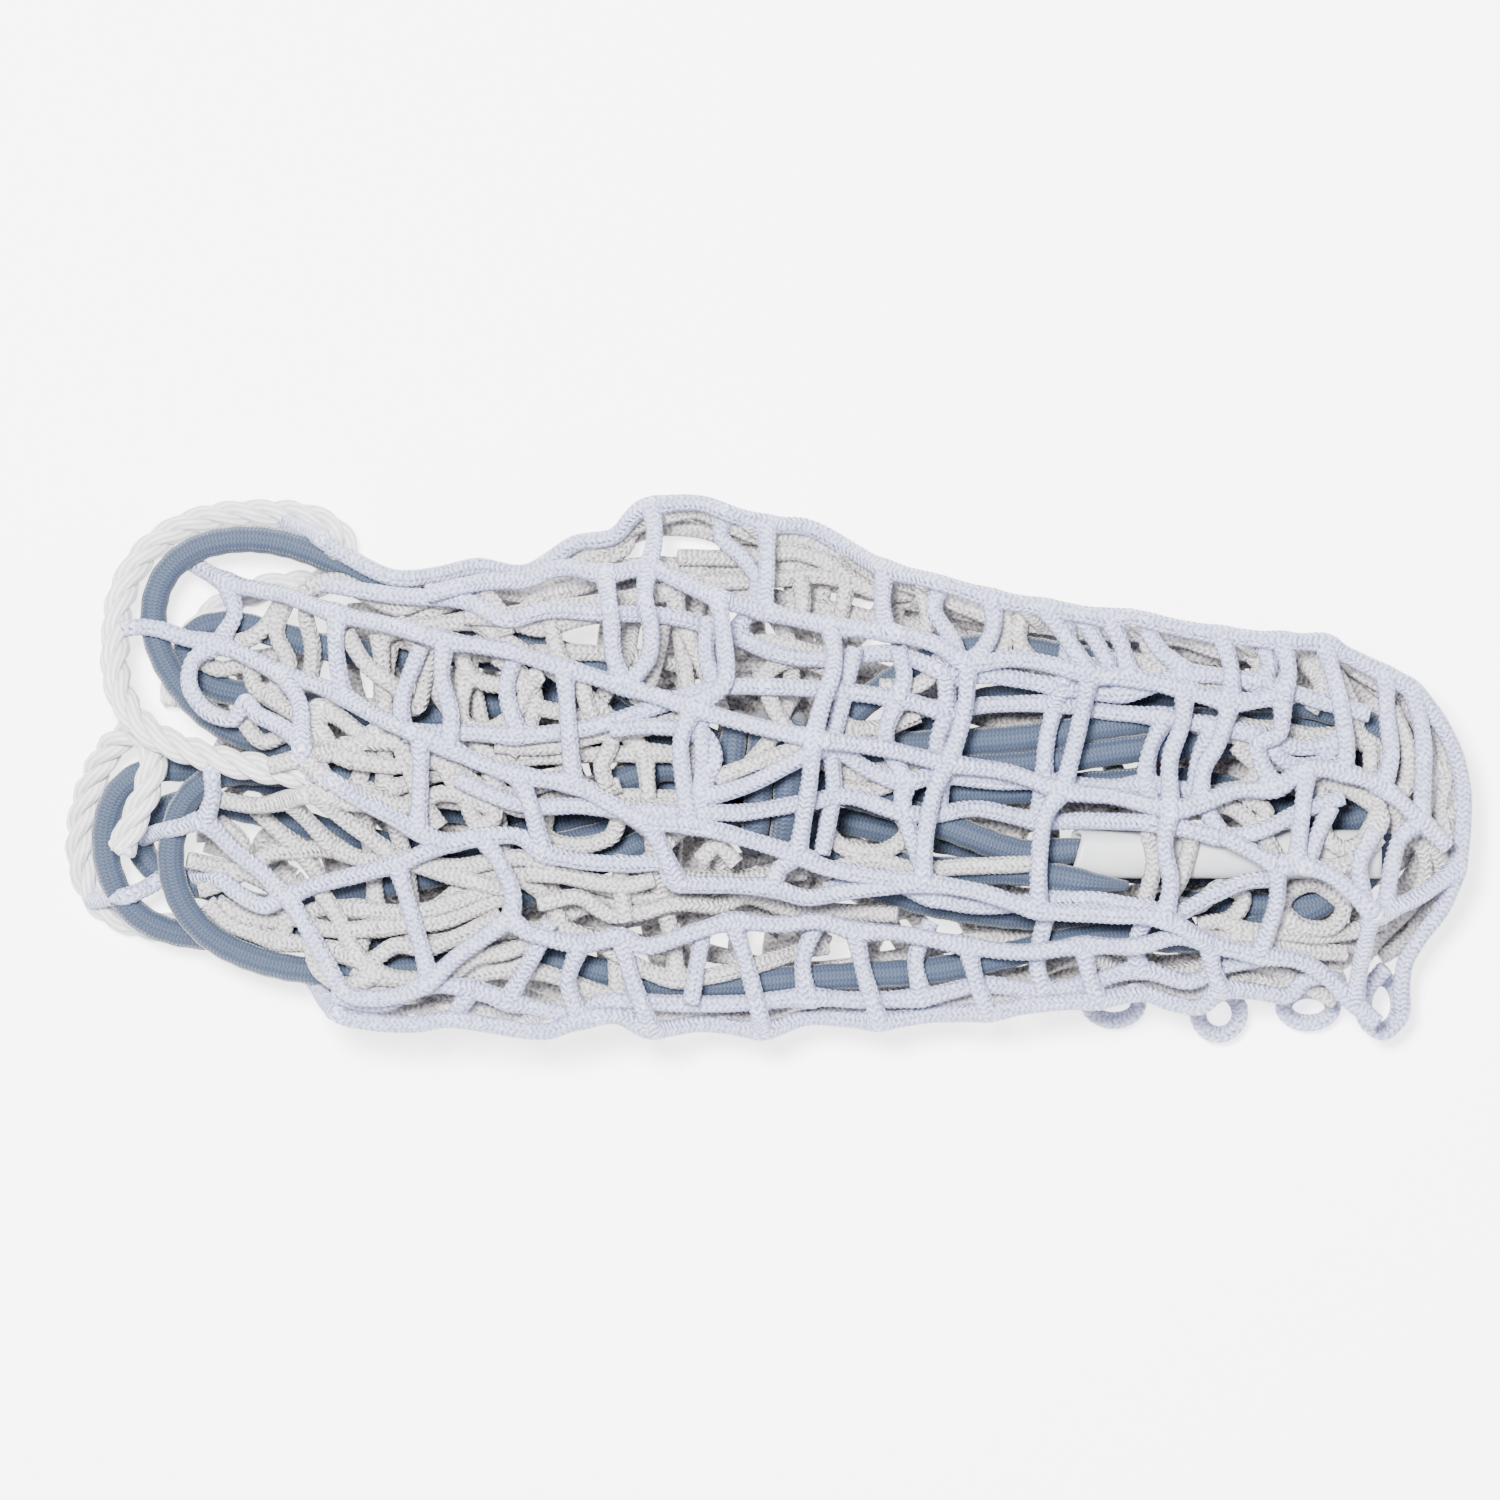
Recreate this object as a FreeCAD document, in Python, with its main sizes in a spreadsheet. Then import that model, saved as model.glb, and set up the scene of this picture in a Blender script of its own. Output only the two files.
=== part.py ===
import FreeCAD, Part
import Sketcher
import math
import os

# A folded bundle of white knotless netting with an elastic cord hank rolled up inside it.
# +X runs along the bundle towards the net's folded end, +Y across it, +Z up from the
# surface that it lies on. The origin is the middle of the bundle's footprint.

doc = FreeCAD.newDocument("folded_net")

# Driving dimensions, in millimetres
SIZES = {
    "bundle_length": 467,
    "bundle_width": 180,
    "bundle_height": 70,
    "under_thickness": 20,
    "hank_top": 46,
    "clearance": 0.3,
    "rope_diameter": 10,
    "sleeve_length": 100,
    "sleeve_width": 16,
    "sleeve_height": 11,
    "sleeve_wall": 1.4,
    "loop_radius": 6.4,
    "loop_cord_radius": 2.7,
}
sheet = doc.addObject("Spreadsheet::Sheet", "sizes")
for row, (alias, value) in enumerate(SIZES.items(), start=1):
    sheet.set(f"A{row}", alias)
    sheet.set(f"B{row}", str(value))
    sheet.setAlias(f"B{row}", alias)
doc.recompute()

LENGTH = SIZES["bundle_length"]
WIDTH = SIZES["bundle_width"]
HEIGHT = SIZES["bundle_height"]

# Plan outlines, as (x, y) at the nominal length and width.
# The layers of net above and below the hank have the bundle's outer outline.
NET_OUTLINE = [
    (-137, 62), (-95, 66), (-66, 72), (-40, 88), (-18, 90), (18, 82), (44, 66), (100, 53),
    (160, 45), (200, 37), (222, 20), (233.5, -10), (233.5, -32), (224, -55), (215, -72.5),
    (122, -70), (76, -79), (0, -88), (-75, -88), (-137, -81),
]
# The hank fans out into loose bends at its left end, which the net leaves bare.
HANK_OUTLINE = [
    (-208, 46), (-202, 65), (-190, 77.5), (-172, 81), (-147, 74), (-100, 49), (0, 47),
    (110, 42), (185, 30), (208, 12), (214, -12), (206, -38), (185, -54), (110, -60), (70, -67),
    (20, -74), (-15, -76), (-45, -74), (-75, -66), (-130, -69.5), (-168, -70.5), (-196, -60.5),
    (-213, -55), (-221.5, -40), (-222, -20), (-217, -6), (-201, -3), (-187, 5), (-199, 22),
]
# The few strands that lie over the hank's bends and the border ropes at the left end.
FLAP_OUTLINE = [
    (-137, 58), (-160, 58), (-190, 50), (-209, 50), (-209, 38), (-190, 10), (-200, -14),
    (-222, -37), (-222, -46), (-190, -47), (-150, -70), (-137, -80),
]

# Side profiles, as (x, z): what is cut away from each pad. They all reach past its ends.
FAR = 0.6 * LENGTH
ABOVE = HEIGHT + 10
NET_TOP = [(-FAR, 70), (150, 70), (196, 64), (222, 50), (233.5, 34), (FAR, 34)]
NET_BOTTOM = [(-FAR, 0), (205, 0), (224, 8), (233.5, 24), (FAR, 24)]
HANK_TOP = [(-FAR, 18), (-140, 46), (FAR, 46)]
HANK_BOTTOM = [(-FAR, 8), (-139, 20), (FAR, 20)]
FLAP_TOP = [(-FAR, 43), (-137, 70), (FAR, 70)]
FLAP_BOTTOM = [(-FAR, 35), (-137, 62), (FAR, 62)]
SIDE_FOLD_TOP = [(-FAR, 46.3), (222, 46.3), (FAR, 30)]

# The bundle's rounded shoulders, as (y, z): what is cut off along its two long sides.
REAR_SHOULDER = [(52, 80), (52, 70), (76, 62), (90.5, 50), (90.5, 80)]
FRONT_SHOULDER = [(-52, 80), (-52, 70), (-74, 62), (-90.5, 46), (-90.5, 80)]

# Border rope routes, as (x, y, z), from the fused end that shows to where the net covers them.
REAR_ROPE = [
    (-197, 21.5, 6), (-196.5, 35, 5.2), (-187, 50, 5.2), (-174, 59, 5.2), (-160, 61.5, 5.5),
    (-147, 61.5, 6), (-139.5, 68, 7), (-140.5, 78, 8), (-150, 84, 9), (-165, 85.5, 10),
    (-187, 84, 12), (-204, 75, 15), (-213.5, 60, 20), (-215, 42, 27), (-213.5, 25, 36),
    (-203, 11.5, 43.5), (-184, 4, 47), (-164, 0, 50), (-143, -3, 53.8),
]
FRONT_ROPE = [
    (-212, -27, 37.5), (-206.5, -15, 38.6), (-201.5, -3, 38.9), (-201, 8, 34), (-208, 14, 25),
    (-217, 8, 18), (-224, -4, 12), (-228.3, -18, 8), (-228.4, -34, 5.4), (-221, -47, 5.2),
    (-207, -53, 5.2), (-190, -53, 5.2), (-172, -50, 5.2), (-155, -48, 6), (-142, -48, 8),
]

SLEEVE_START = (103, -28, 40.2)
EDGE_LOOPS = [(115.5, -81, 9), (152.5, -81, 6), (182, -81.1, 7), (206, -81.1, 12)]


def plane_of(body, role):
    """The body's own origin plane."""
    return next(f for f in body.Origin.OriginFeatures if f.Role == role)


def cell_expression(cell, nominal, value):
    """A sketch coordinate as its share of a driving dimension."""
    return f"sizes.{cell} * {value / nominal:.6f}"


def add_polygon(sketch, points, across, up):
    """A closed outline whose corners follow two cells of the sheet, given as (cell, nominal)."""
    vectors = [FreeCAD.Vector(x, y, 0) for x, y in points]
    first = sketch.GeometryCount
    count = len(vectors)
    for start, end in zip(vectors, vectors[1:] + vectors[:1]):
        sketch.addGeometry(Part.LineSegment(start, end))
    for i in range(count):
        sketch.addConstraint(
            Sketcher.Constraint("Coincident", first + i, 2, first + (i + 1) % count, 1)
        )
    for i, (x, y) in enumerate(points):
        for kind, value, (cell, nominal) in (("DistanceX", x, across), ("DistanceY", y, up)):
            index = sketch.addConstraint(Sketcher.Constraint(kind, -1, 1, first + i, 1, value))
            sketch.setExpression(
                f"Constraints[{index}]", cell_expression(cell, nominal, value)
            )


def sketch_on(body, role, name):
    """An empty sketch on one of the body's origin planes."""
    sketch = body.newObject("Sketcher::SketchObject", name)
    sketch.AttachmentSupport = [(plane_of(body, role), "")]
    sketch.MapMode = "FlatFace"
    return sketch


def cut_through(body, name, role, polygons, across):
    """Cuts the outlines away from the body, right through it both ways."""
    sketch = sketch_on(body, role, name + "_profile")
    for points in polygons:
        add_polygon(sketch, points, across, ("bundle_height", HEIGHT))
    pocket = body.newObject("PartDesign::Pocket", name)
    pocket.Profile = sketch
    pocket.SideType = "Symmetric"
    pocket.Type = "ThroughAll"
    pocket.AllowMultiFace = True
    doc.recompute()
    return pocket


def above(profile):
    """The region over a side profile."""
    return [(profile[0][0], ABOVE)] + list(profile) + [(profile[-1][0], ABOVE)]


def below(profile, floor=-10):
    """The region under a side profile."""
    return [(profile[0][0], floor)] + list(profile) + [(profile[-1][0], floor)]


def soft_slab(label, outline, low, high, profiles=(), shoulders=()):
    """A soft piece: its plan outline padded between two levels, then cut to its side profiles."""
    body = doc.addObject("PartDesign::Body", label)
    body.Label = label
    plan = sketch_on(body, "XY_Plane", label + "_plan")
    add_polygon(plan, outline, ("bundle_length", LENGTH), ("bundle_width", WIDTH))
    plan.AttachmentOffset = FreeCAD.Placement(FreeCAD.Vector(0, 0, 1), FreeCAD.Rotation())
    plan.setExpression("AttachmentOffset.Base.z", low)
    pad = body.newObject("PartDesign::Pad", label + "_pad")
    pad.Profile = plan
    pad.Length = 1
    pad.setExpression("Length", f"({high}) - ({low})")
    doc.recompute()
    if profiles:
        cut_through(body, label + "_sides", "XZ_Plane", profiles, ("bundle_length", LENGTH))
    if shoulders:
        cut_through(body, label + "_edges", "YZ_Plane", shoulders, ("bundle_width", WIDTH))
    return body


def make_net():
    """The net's folded layers: under the hank, over it, round its two sides and its far end."""
    under = soft_slab(
        "net_under_layers", NET_OUTLINE, "0", "sizes.under_thickness", [below(NET_BOTTOM)]
    )
    over = soft_slab(
        "net_over_layers",
        NET_OUTLINE,
        "sizes.hank_top + sizes.clearance",
        "sizes.bundle_height",
        [above(NET_TOP)],
        [REAR_SHOULDER, FRONT_SHOULDER],
    )
    flap = soft_slab(
        "net_left_flap",
        FLAP_OUTLINE,
        "0",
        "sizes.bundle_height",
        [above(FLAP_TOP), below(FLAP_BOTTOM)],
        [REAR_SHOULDER, FRONT_SHOULDER],
    )
    return [under, over, flap]


def side_fold(label, outline):
    """The net between the layers over and under the hank, on one side of it."""
    return soft_slab(
        label,
        outline,
        "sizes.under_thickness",
        "sizes.hank_top + sizes.clearance",
        [above(SIDE_FOLD_TOP)],
    )


def make_folds():
    """The net rolled round the front and rear of the hank and folded round its far end."""
    rear = [
        (-124.5, 63.2), (-95, 66), (-66, 72), (-40, 88), (-18, 90), (18, 82), (44, 66),
        (100, 53), (160, 45), (200, 37), (200, 19), (185, 30.5), (110, 42.5), (0, 47.5),
        (-100, 49.5),
    ]
    front = [
        (206, -38.5), (185, -54.5), (110, -60.5), (70, -67.5), (20, -74.5), (-15, -76.5),
        (-45, -74.5), (-75, -66.5), (-130, -70), (-137, -70.3), (-137, -81), (-75, -88),
        (0, -88), (76, -79), (122, -70), (215, -72.5), (224, -55),
    ]
    end = [
        (200, 37), (222, 20), (233.5, -10), (233.5, -32), (224, -55), (206.5, -38.3),
        (214.5, -12), (208.4, 12.2), (200, 19),
    ]
    return [
        side_fold("net_rear_fold", rear),
        side_fold("net_front_fold", front),
        side_fold("net_end_fold", end),
    ]


def make_hank():
    """The elastic cord's hank, with a notch in its top for the joining sleeve."""
    hank = soft_slab(
        "elastic_hank", HANK_OUTLINE, "0", "sizes.hank_top", [above(HANK_TOP), below(HANK_BOTTOM)]
    )
    notch = sketch_on(hank, "XY_Plane", "sleeve_notch_plan")
    notch.AttachmentOffset = FreeCAD.Placement(FreeCAD.Vector(0, 0, 46), FreeCAD.Rotation())
    notch.setExpression("AttachmentOffset.Base.z", "sizes.hank_top")
    half = SIZES["sleeve_width"] / 2 + SIZES["clearance"]
    x0 = SLEEVE_START[0] - SIZES["clearance"]
    x1 = SLEEVE_START[0] + SIZES["sleeve_length"] + SIZES["clearance"]
    y = SLEEVE_START[1]
    corners = [(x0, y - half), (x1, y - half), (x1, y + half), (x0, y + half)]
    add_polygon(notch, corners, ("bundle_length", LENGTH), ("bundle_width", WIDTH))
    pocket = hank.newObject("PartDesign::Pocket", "sleeve_notch")
    pocket.Profile = notch
    pocket.Length = 1
    pocket.setExpression("Length", "sizes.sleeve_height + 2 * sizes.clearance")
    doc.recompute()
    return hank


def add_slot(sketch, width, height):
    """A stadium centred on the sketch's origin, its width and height as expressions."""
    radius = 3.0
    reach = 4.0
    right = sketch.addGeometry(
        Part.ArcOfCircle(
            Part.Circle(FreeCAD.Vector(reach, 0, 0), FreeCAD.Vector(0, 0, 1), radius),
            -math.pi / 2,
            math.pi / 2,
        )
    )
    left = sketch.addGeometry(
        Part.ArcOfCircle(
            Part.Circle(FreeCAD.Vector(-reach, 0, 0), FreeCAD.Vector(0, 0, 1), radius),
            math.pi / 2,
            1.5 * math.pi,
        )
    )
    top = sketch.addGeometry(
        Part.LineSegment(FreeCAD.Vector(reach, radius, 0), FreeCAD.Vector(-reach, radius, 0))
    )
    bottom = sketch.addGeometry(
        Part.LineSegment(FreeCAD.Vector(-reach, -radius, 0), FreeCAD.Vector(reach, -radius, 0))
    )
    for a, a_end, b, b_end in (
        (right, 2, top, 1),
        (top, 2, left, 1),
        (left, 2, bottom, 1),
        (bottom, 2, right, 1),
    ):
        sketch.addConstraint(Sketcher.Constraint("Tangent", a, a_end, b, b_end))
    sketch.addConstraint(Sketcher.Constraint("Equal", right, left))
    sketch.addConstraint(Sketcher.Constraint("Symmetric", right, 3, left, 3, -1, 1))
    sketch.addConstraint(Sketcher.Constraint("PointOnObject", right, 3, -1))
    size = sketch.addConstraint(Sketcher.Constraint("Radius", right, radius))
    span = sketch.addConstraint(Sketcher.Constraint("DistanceX", left, 3, right, 3, 2 * reach))
    sketch.setExpression(f"Constraints[{size}]", f"({height}) / 2")
    sketch.setExpression(f"Constraints[{span}]", f"({width}) - ({height})")


def make_sleeve():
    """The white sleeve that takes one end of the elastic cord: an oval tube along X."""
    body = doc.addObject("PartDesign::Body", "joining_sleeve")
    body.Label = "joining_sleeve"
    section = sketch_on(body, "YZ_Plane", "sleeve_section")
    add_slot(section, "sizes.sleeve_width", "sizes.sleeve_height")
    inner = "sizes.{} - 2 * sizes.sleeve_wall"
    add_slot(section, inner.format("sleeve_width"), inner.format("sleeve_height"))
    pad = body.newObject("PartDesign::Pad", "sleeve_pad")
    pad.Profile = section
    pad.Length = SIZES["sleeve_length"]
    pad.setExpression("Length", "sizes.sleeve_length")
    body.Placement = FreeCAD.Placement(FreeCAD.Vector(*SLEEVE_START), FreeCAD.Rotation())
    doc.recompute()
    return body


def rounded_route(label, points):
    """A route of straight runs joined by tangent arcs, each as large as its two runs allow."""
    corners = [FreeCAD.Vector(*p) for p in points]
    edges = []
    radii = []
    here = corners[0]
    for before, corner, after in zip(corners, corners[1:], corners[2:]):
        back = before - corner
        ahead = after - corner
        turn = math.pi - back.getAngle(ahead)
        shorter = min(back.Length, ahead.Length)
        radii.append(0.45 * shorter / math.tan(turn / 2))
        back.normalize()
        ahead.normalize()
        arc_start = corner + back * (0.45 * shorter)
        arc_end = corner + ahead * (0.45 * shorter)
        centre = corner + (back + ahead).normalize() * (radii[-1] / math.cos(turn / 2))
        arc_middle = centre + (corner - centre).normalize() * radii[-1]
        edges.append(Part.LineSegment(here, arc_start).toShape())
        edges.append(Part.Arc(arc_start, arc_middle, arc_end).toShape())
        here = arc_end
    edges.append(Part.LineSegment(here, corners[-1]).toShape())
    print(f"{label}: bend radii from {min(radii):.1f} mm", [round(r) for r in radii])
    return Part.Wire(edges)


def make_rope(label, points):
    """A border rope: a round section swept along its route."""
    wire = rounded_route(label, points)
    route = doc.addObject("Part::Feature", label + "_route")
    route.Shape = wire
    start = FreeCAD.Vector(*points[0])
    heading = FreeCAD.Vector(*points[1]) - start
    section = doc.addObject("Part::Circle", label + "_section")
    section.setExpression("Radius", "sizes.rope_diameter / 2")
    section.Placement = FreeCAD.Placement(
        start, FreeCAD.Rotation(FreeCAD.Vector(0, 0, 1), heading)
    )
    rope = doc.addObject("Part::Sweep", label)
    rope.Label = label
    rope.Sections = [section]
    rope.Spine = (route, [f"Edge{i + 1}" for i in range(len(wire.Edges))])
    rope.Solid = True
    rope.Frenet = False
    doc.recompute()
    expected = math.pi * (SIZES["rope_diameter"] / 2) ** 2 * wire.Length
    print(f"{label}: length {wire.Length:.1f} mm, volume over section x length "
          f"{rope.Shape.Volume / expected:.4f}")
    return rope


def make_edge_loops():
    """The loops of selvage cord along the net's front edge, as one group."""
    loops = []
    for i, place in enumerate(EDGE_LOOPS):
        ring = doc.addObject("Part::Torus", f"edge_loop_{i + 1}")
        ring.setExpression("Radius1", "sizes.loop_radius")
        ring.setExpression("Radius2", "sizes.loop_cord_radius")
        ring.Placement = FreeCAD.Placement(FreeCAD.Vector(*place), FreeCAD.Rotation())
        loops.append(ring)
    group = doc.addObject("Part::Compound", "edge_loops")
    group.Label = "edge_loops"
    group.Links = loops
    doc.recompute()
    return group


def check_document(nodes):
    """Stops with a message if any object failed or any sub-part has no sound shape."""
    for obj in doc.Objects:
        if "Invalid" in obj.State or "Error" in obj.State:
            raise RuntimeError(f"{obj.Name} did not compute: {obj.State}")
    for node in nodes:
        if node.Shape.isNull() or not node.Shape.isValid() or node.Shape.Volume <= 0:
            raise RuntimeError(f"{node.Label} has no valid solid")


def write_parts(nodes):
    """One STEP file per sub-part, named by its label."""
    os.makedirs("parts", exist_ok=True)
    box = FreeCAD.BoundBox()
    for node in nodes:
        node.Shape.exportStep(f"parts/{node.Label}.step")
        box.add(node.Shape.BoundBox)
        print(f"{node.Label}: {len(node.Shape.Solids)} solid(s), {node.Shape.Volume:.0f} mm3")
    print("whole box:", box)


nodes = make_net() + make_folds()
nodes.append(make_hank())
nodes.append(make_sleeve())
nodes.append(make_rope("border_rope_rear", REAR_ROPE))
nodes.append(make_rope("border_rope_front", FRONT_ROPE))
nodes.append(make_edge_loops())
doc.recompute()
check_document(nodes)
write_parts(nodes)
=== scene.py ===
import math
import bpy
import numpy as np
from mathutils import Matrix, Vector


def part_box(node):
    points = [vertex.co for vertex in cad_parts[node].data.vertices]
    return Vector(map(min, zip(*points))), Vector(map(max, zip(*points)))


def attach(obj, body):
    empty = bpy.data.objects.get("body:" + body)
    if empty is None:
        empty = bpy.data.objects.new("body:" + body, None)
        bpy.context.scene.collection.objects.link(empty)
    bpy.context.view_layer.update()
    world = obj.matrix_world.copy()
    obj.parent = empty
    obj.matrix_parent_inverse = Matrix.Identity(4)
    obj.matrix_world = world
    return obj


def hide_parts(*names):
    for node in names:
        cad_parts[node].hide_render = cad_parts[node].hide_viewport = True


# A folded bundle of white knotless netting on a pale floor, with an elastic cord hank inside.
# Everything is in metres in the end; the net's own places are given in millimetres.
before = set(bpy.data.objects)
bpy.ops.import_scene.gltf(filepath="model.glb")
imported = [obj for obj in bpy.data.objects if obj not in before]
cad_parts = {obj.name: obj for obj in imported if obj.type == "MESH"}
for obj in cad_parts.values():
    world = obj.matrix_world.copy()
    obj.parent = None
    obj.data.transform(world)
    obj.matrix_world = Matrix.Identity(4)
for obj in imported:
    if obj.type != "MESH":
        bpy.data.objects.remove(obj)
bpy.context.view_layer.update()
MM = 0.001
TURN = 2 * math.pi

NET_CORD_RADIUS = 2.85
ELASTIC_DIAMETER = 0.009
ROPE_DIAMETER = 0.010

# ---------------------------------------------------------------- camera and lights


def aim_camera():
    """Straight above the bundle, far enough back for a flat, undistorted view."""
    data = bpy.data.cameras.new("camera")
    data.lens = 170
    data.sensor_width = 36
    camera = bpy.data.objects.new("camera", data)
    bpy.context.scene.collection.objects.link(camera)
    view_width = 0.495
    middle_height = 0.035
    distance = view_width * data.lens / data.sensor_width
    camera.location = (-0.0045, 0.0063, middle_height + distance)
    bpy.context.scene.camera = camera


def soft_light(name, place, aim, size, power, colour):
    """One large soft box."""
    data = bpy.data.lights.new(name, "AREA")
    data.shape = "SQUARE"
    data.size = size
    data.energy = power
    data.color = colour
    lamp = bpy.data.objects.new(name, data)
    bpy.context.scene.collection.objects.link(lamp)
    lamp.location = place
    towards = Vector(aim) - Vector(place)
    lamp.rotation_mode = "QUATERNION"
    lamp.rotation_quaternion = towards.to_track_quat("-Z", "Y")


def light_scene():
    """Even studio light from above, a little stronger from the rear left."""
    soft_light("key", (-0.28, 0.33, 1.95), (0, 0, 0), 0.4, 180, (1.0, 0.99, 0.97))
    soft_light("fill", (0.9, -0.6, 1.3), (0, 0, 0), 1.0, 14, (0.93, 0.96, 1.0))
    world = bpy.data.worlds.new("studio")
    world.use_nodes = True
    background = world.node_tree.nodes["Background"]
    background.inputs["Color"].default_value = (0.96, 0.97, 1.0, 1)
    background.inputs["Strength"].default_value = 1.0
    bpy.context.scene.world = world


aim_camera()
light_scene()

# ---------------------------------------------------------------- lines


def even_line(points, step):
    """The same line with its points an equal step apart."""
    points = np.asarray(points, float)
    gaps = np.linalg.norm(np.diff(points, axis=0), axis=1)
    along = np.concatenate([[0], np.cumsum(gaps)])
    count = max(3, int(round(along[-1] / step)) + 1)
    at = np.linspace(0, along[-1], count)
    return np.column_stack([np.interp(at, along, points[:, k]) for k in range(points.shape[1])])


def smooth_spans(points, step):
    """One smooth run of points per span of the line, each starting at its own given point."""
    p = np.asarray(points, float)
    p = np.vstack([2 * p[0] - p[1], p, 2 * p[-1] - p[-2]])
    spans = []
    for a, b, c, d in zip(p, p[1:], p[2:], p[3:]):
        count = max(2, int(round(np.linalg.norm(c - b) / step)))
        t = np.linspace(0, 1, count, endpoint=False)[:, None]
        bend = 2 * b + (c - a) * t + (2 * a - 5 * b + 4 * c - d) * t**2
        spans.append((bend + (3 * b - a - 3 * c + d) * t**3) / 2)
    return spans


def smooth_line(points, step):
    """An evenly stepped smooth line through the points."""
    fine = np.vstack(smooth_spans(points, step) + [np.asarray(points[-1:], float)])
    return even_line(fine, step)


def cord_line(name, route, step):
    """A cord's centreline: the smooth spline that has the route's points as its control points."""
    data = bpy.data.curves.new(name + "_line", "CURVE")
    data.dimensions = "3D"
    spline = data.splines.new("NURBS")
    spline.points.add(len(route) - 1)
    for point, place in zip(spline.points, route):
        point.co = (*place, 1)
    spline.order_u = 3
    spline.use_endpoint_u = True
    data.resolution_u = 16
    guide = bpy.data.objects.new(name + "_line", data)
    bpy.context.scene.collection.objects.link(guide)
    mesh = bpy.data.meshes.new_from_object(guide)
    points = np.array([v.co[:] for v in mesh.vertices])
    bpy.data.meshes.remove(mesh)
    bpy.data.objects.remove(guide)
    return even_line(points, step)


def travelling_frame(line):
    """Two directions square to the line at each point, that turn with it and don't spin."""
    tangents = np.gradient(line, axis=0)
    tangents /= np.linalg.norm(tangents, axis=1)[:, None]
    side = np.cross(tangents[0], (0.0, 0.0, 1.0))
    if np.linalg.norm(side) < 0.2:
        side = np.cross(tangents[0], (0.0, 1.0, 0.0))
    sides = np.empty_like(line)
    for i, tangent in enumerate(tangents):
        side = side - tangent * side.dot(tangent)
        side /= math.sqrt(side.dot(side))
        sides[i] = side
    return sides, np.cross(tangents, sides)


class Weave:
    """Cords gathered into one mesh. Its map holds how far along (in metres) and how far round."""

    def __init__(self):
        self.places = []
        self.quads = []
        self.caps = []
        self.maps = []
        self.count = 0

    def cord(self, line, sides, radius):
        """Adds a cord along an even line. radius(along, angle) gives its uneven surface."""
        across, up = travelling_frame(line)
        rings = len(line)
        gaps = np.linalg.norm(np.diff(line, axis=0), axis=1)
        along = np.concatenate([[0], np.cumsum(gaps)])
        angles = np.arange(sides) / sides * TURN
        reach = radius(along[:, None], angles[None, :]) * np.ones((rings, sides))
        spread = across[:, None] * np.cos(angles)[None, :, None]
        spread = spread + up[:, None] * np.sin(angles)[None, :, None]
        self.places.append((line[:, None] + spread * reach[..., None]).reshape(-1, 3))
        ring, corner = np.meshgrid(np.arange(rings - 1), np.arange(sides), indexing="ij")
        ahead = (corner + 1) % sides
        start = self.count
        quad = np.stack(
            [ring * sides + corner, ring * sides + ahead, (ring + 1) * sides + ahead,
             (ring + 1) * sides + corner], axis=-1)
        self.quads.append(quad.reshape(-1, 4) + start)
        u = along[np.stack([ring, ring, ring + 1, ring + 1], axis=-1)]
        v = np.stack([corner, corner + 1, corner + 1, corner], axis=-1) / sides
        self.maps.append(np.stack([u, v], axis=-1).reshape(-1, 2))
        last = start + (rings - 1) * sides
        self.caps.append([start + k for k in reversed(range(sides))])
        self.caps.append([last + k for k in range(sides)])
        self.count += rings * sides

    def piece(self, name, finish):
        """The finished mesh object."""
        mesh = bpy.data.meshes.new(name)
        faces = [quad for block in self.quads for quad in block.tolist()] + self.caps
        mesh.from_pydata(np.vstack(self.places), [], faces)
        layer = mesh.uv_layers.new(name="Lay")
        flat = np.vstack(self.maps).ravel()
        whole = np.zeros(len(mesh.loops) * 2)
        whole[: len(flat)] = flat
        layer.data.foreach_set("uv", whole)
        mesh.polygons.foreach_set("use_smooth", [True] * len(mesh.polygons))
        mesh.materials.append(finish)
        mesh.update()
        piece = bpy.data.objects.new(name, mesh)
        bpy.context.scene.collection.objects.link(piece)
        return piece


# ---------------------------------------------------------------- finishes


class Signal:
    """A value inside a finish, which takes part in Python expressions."""

    def __init__(self, finish, socket):
        self.finish = finish
        self.socket = socket

    def __add__(self, other):
        return self.finish.maths("ADD", self, other)

    def __sub__(self, other):
        return self.finish.maths("SUBTRACT", self, other)

    def __rsub__(self, other):
        return self.finish.maths("SUBTRACT", other, self)

    def __mul__(self, other):
        return self.finish.maths("MULTIPLY", self, other)

    def __truediv__(self, other):
        return self.finish.maths("DIVIDE", self, other)

    __radd__ = __add__
    __rmul__ = __mul__


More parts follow.
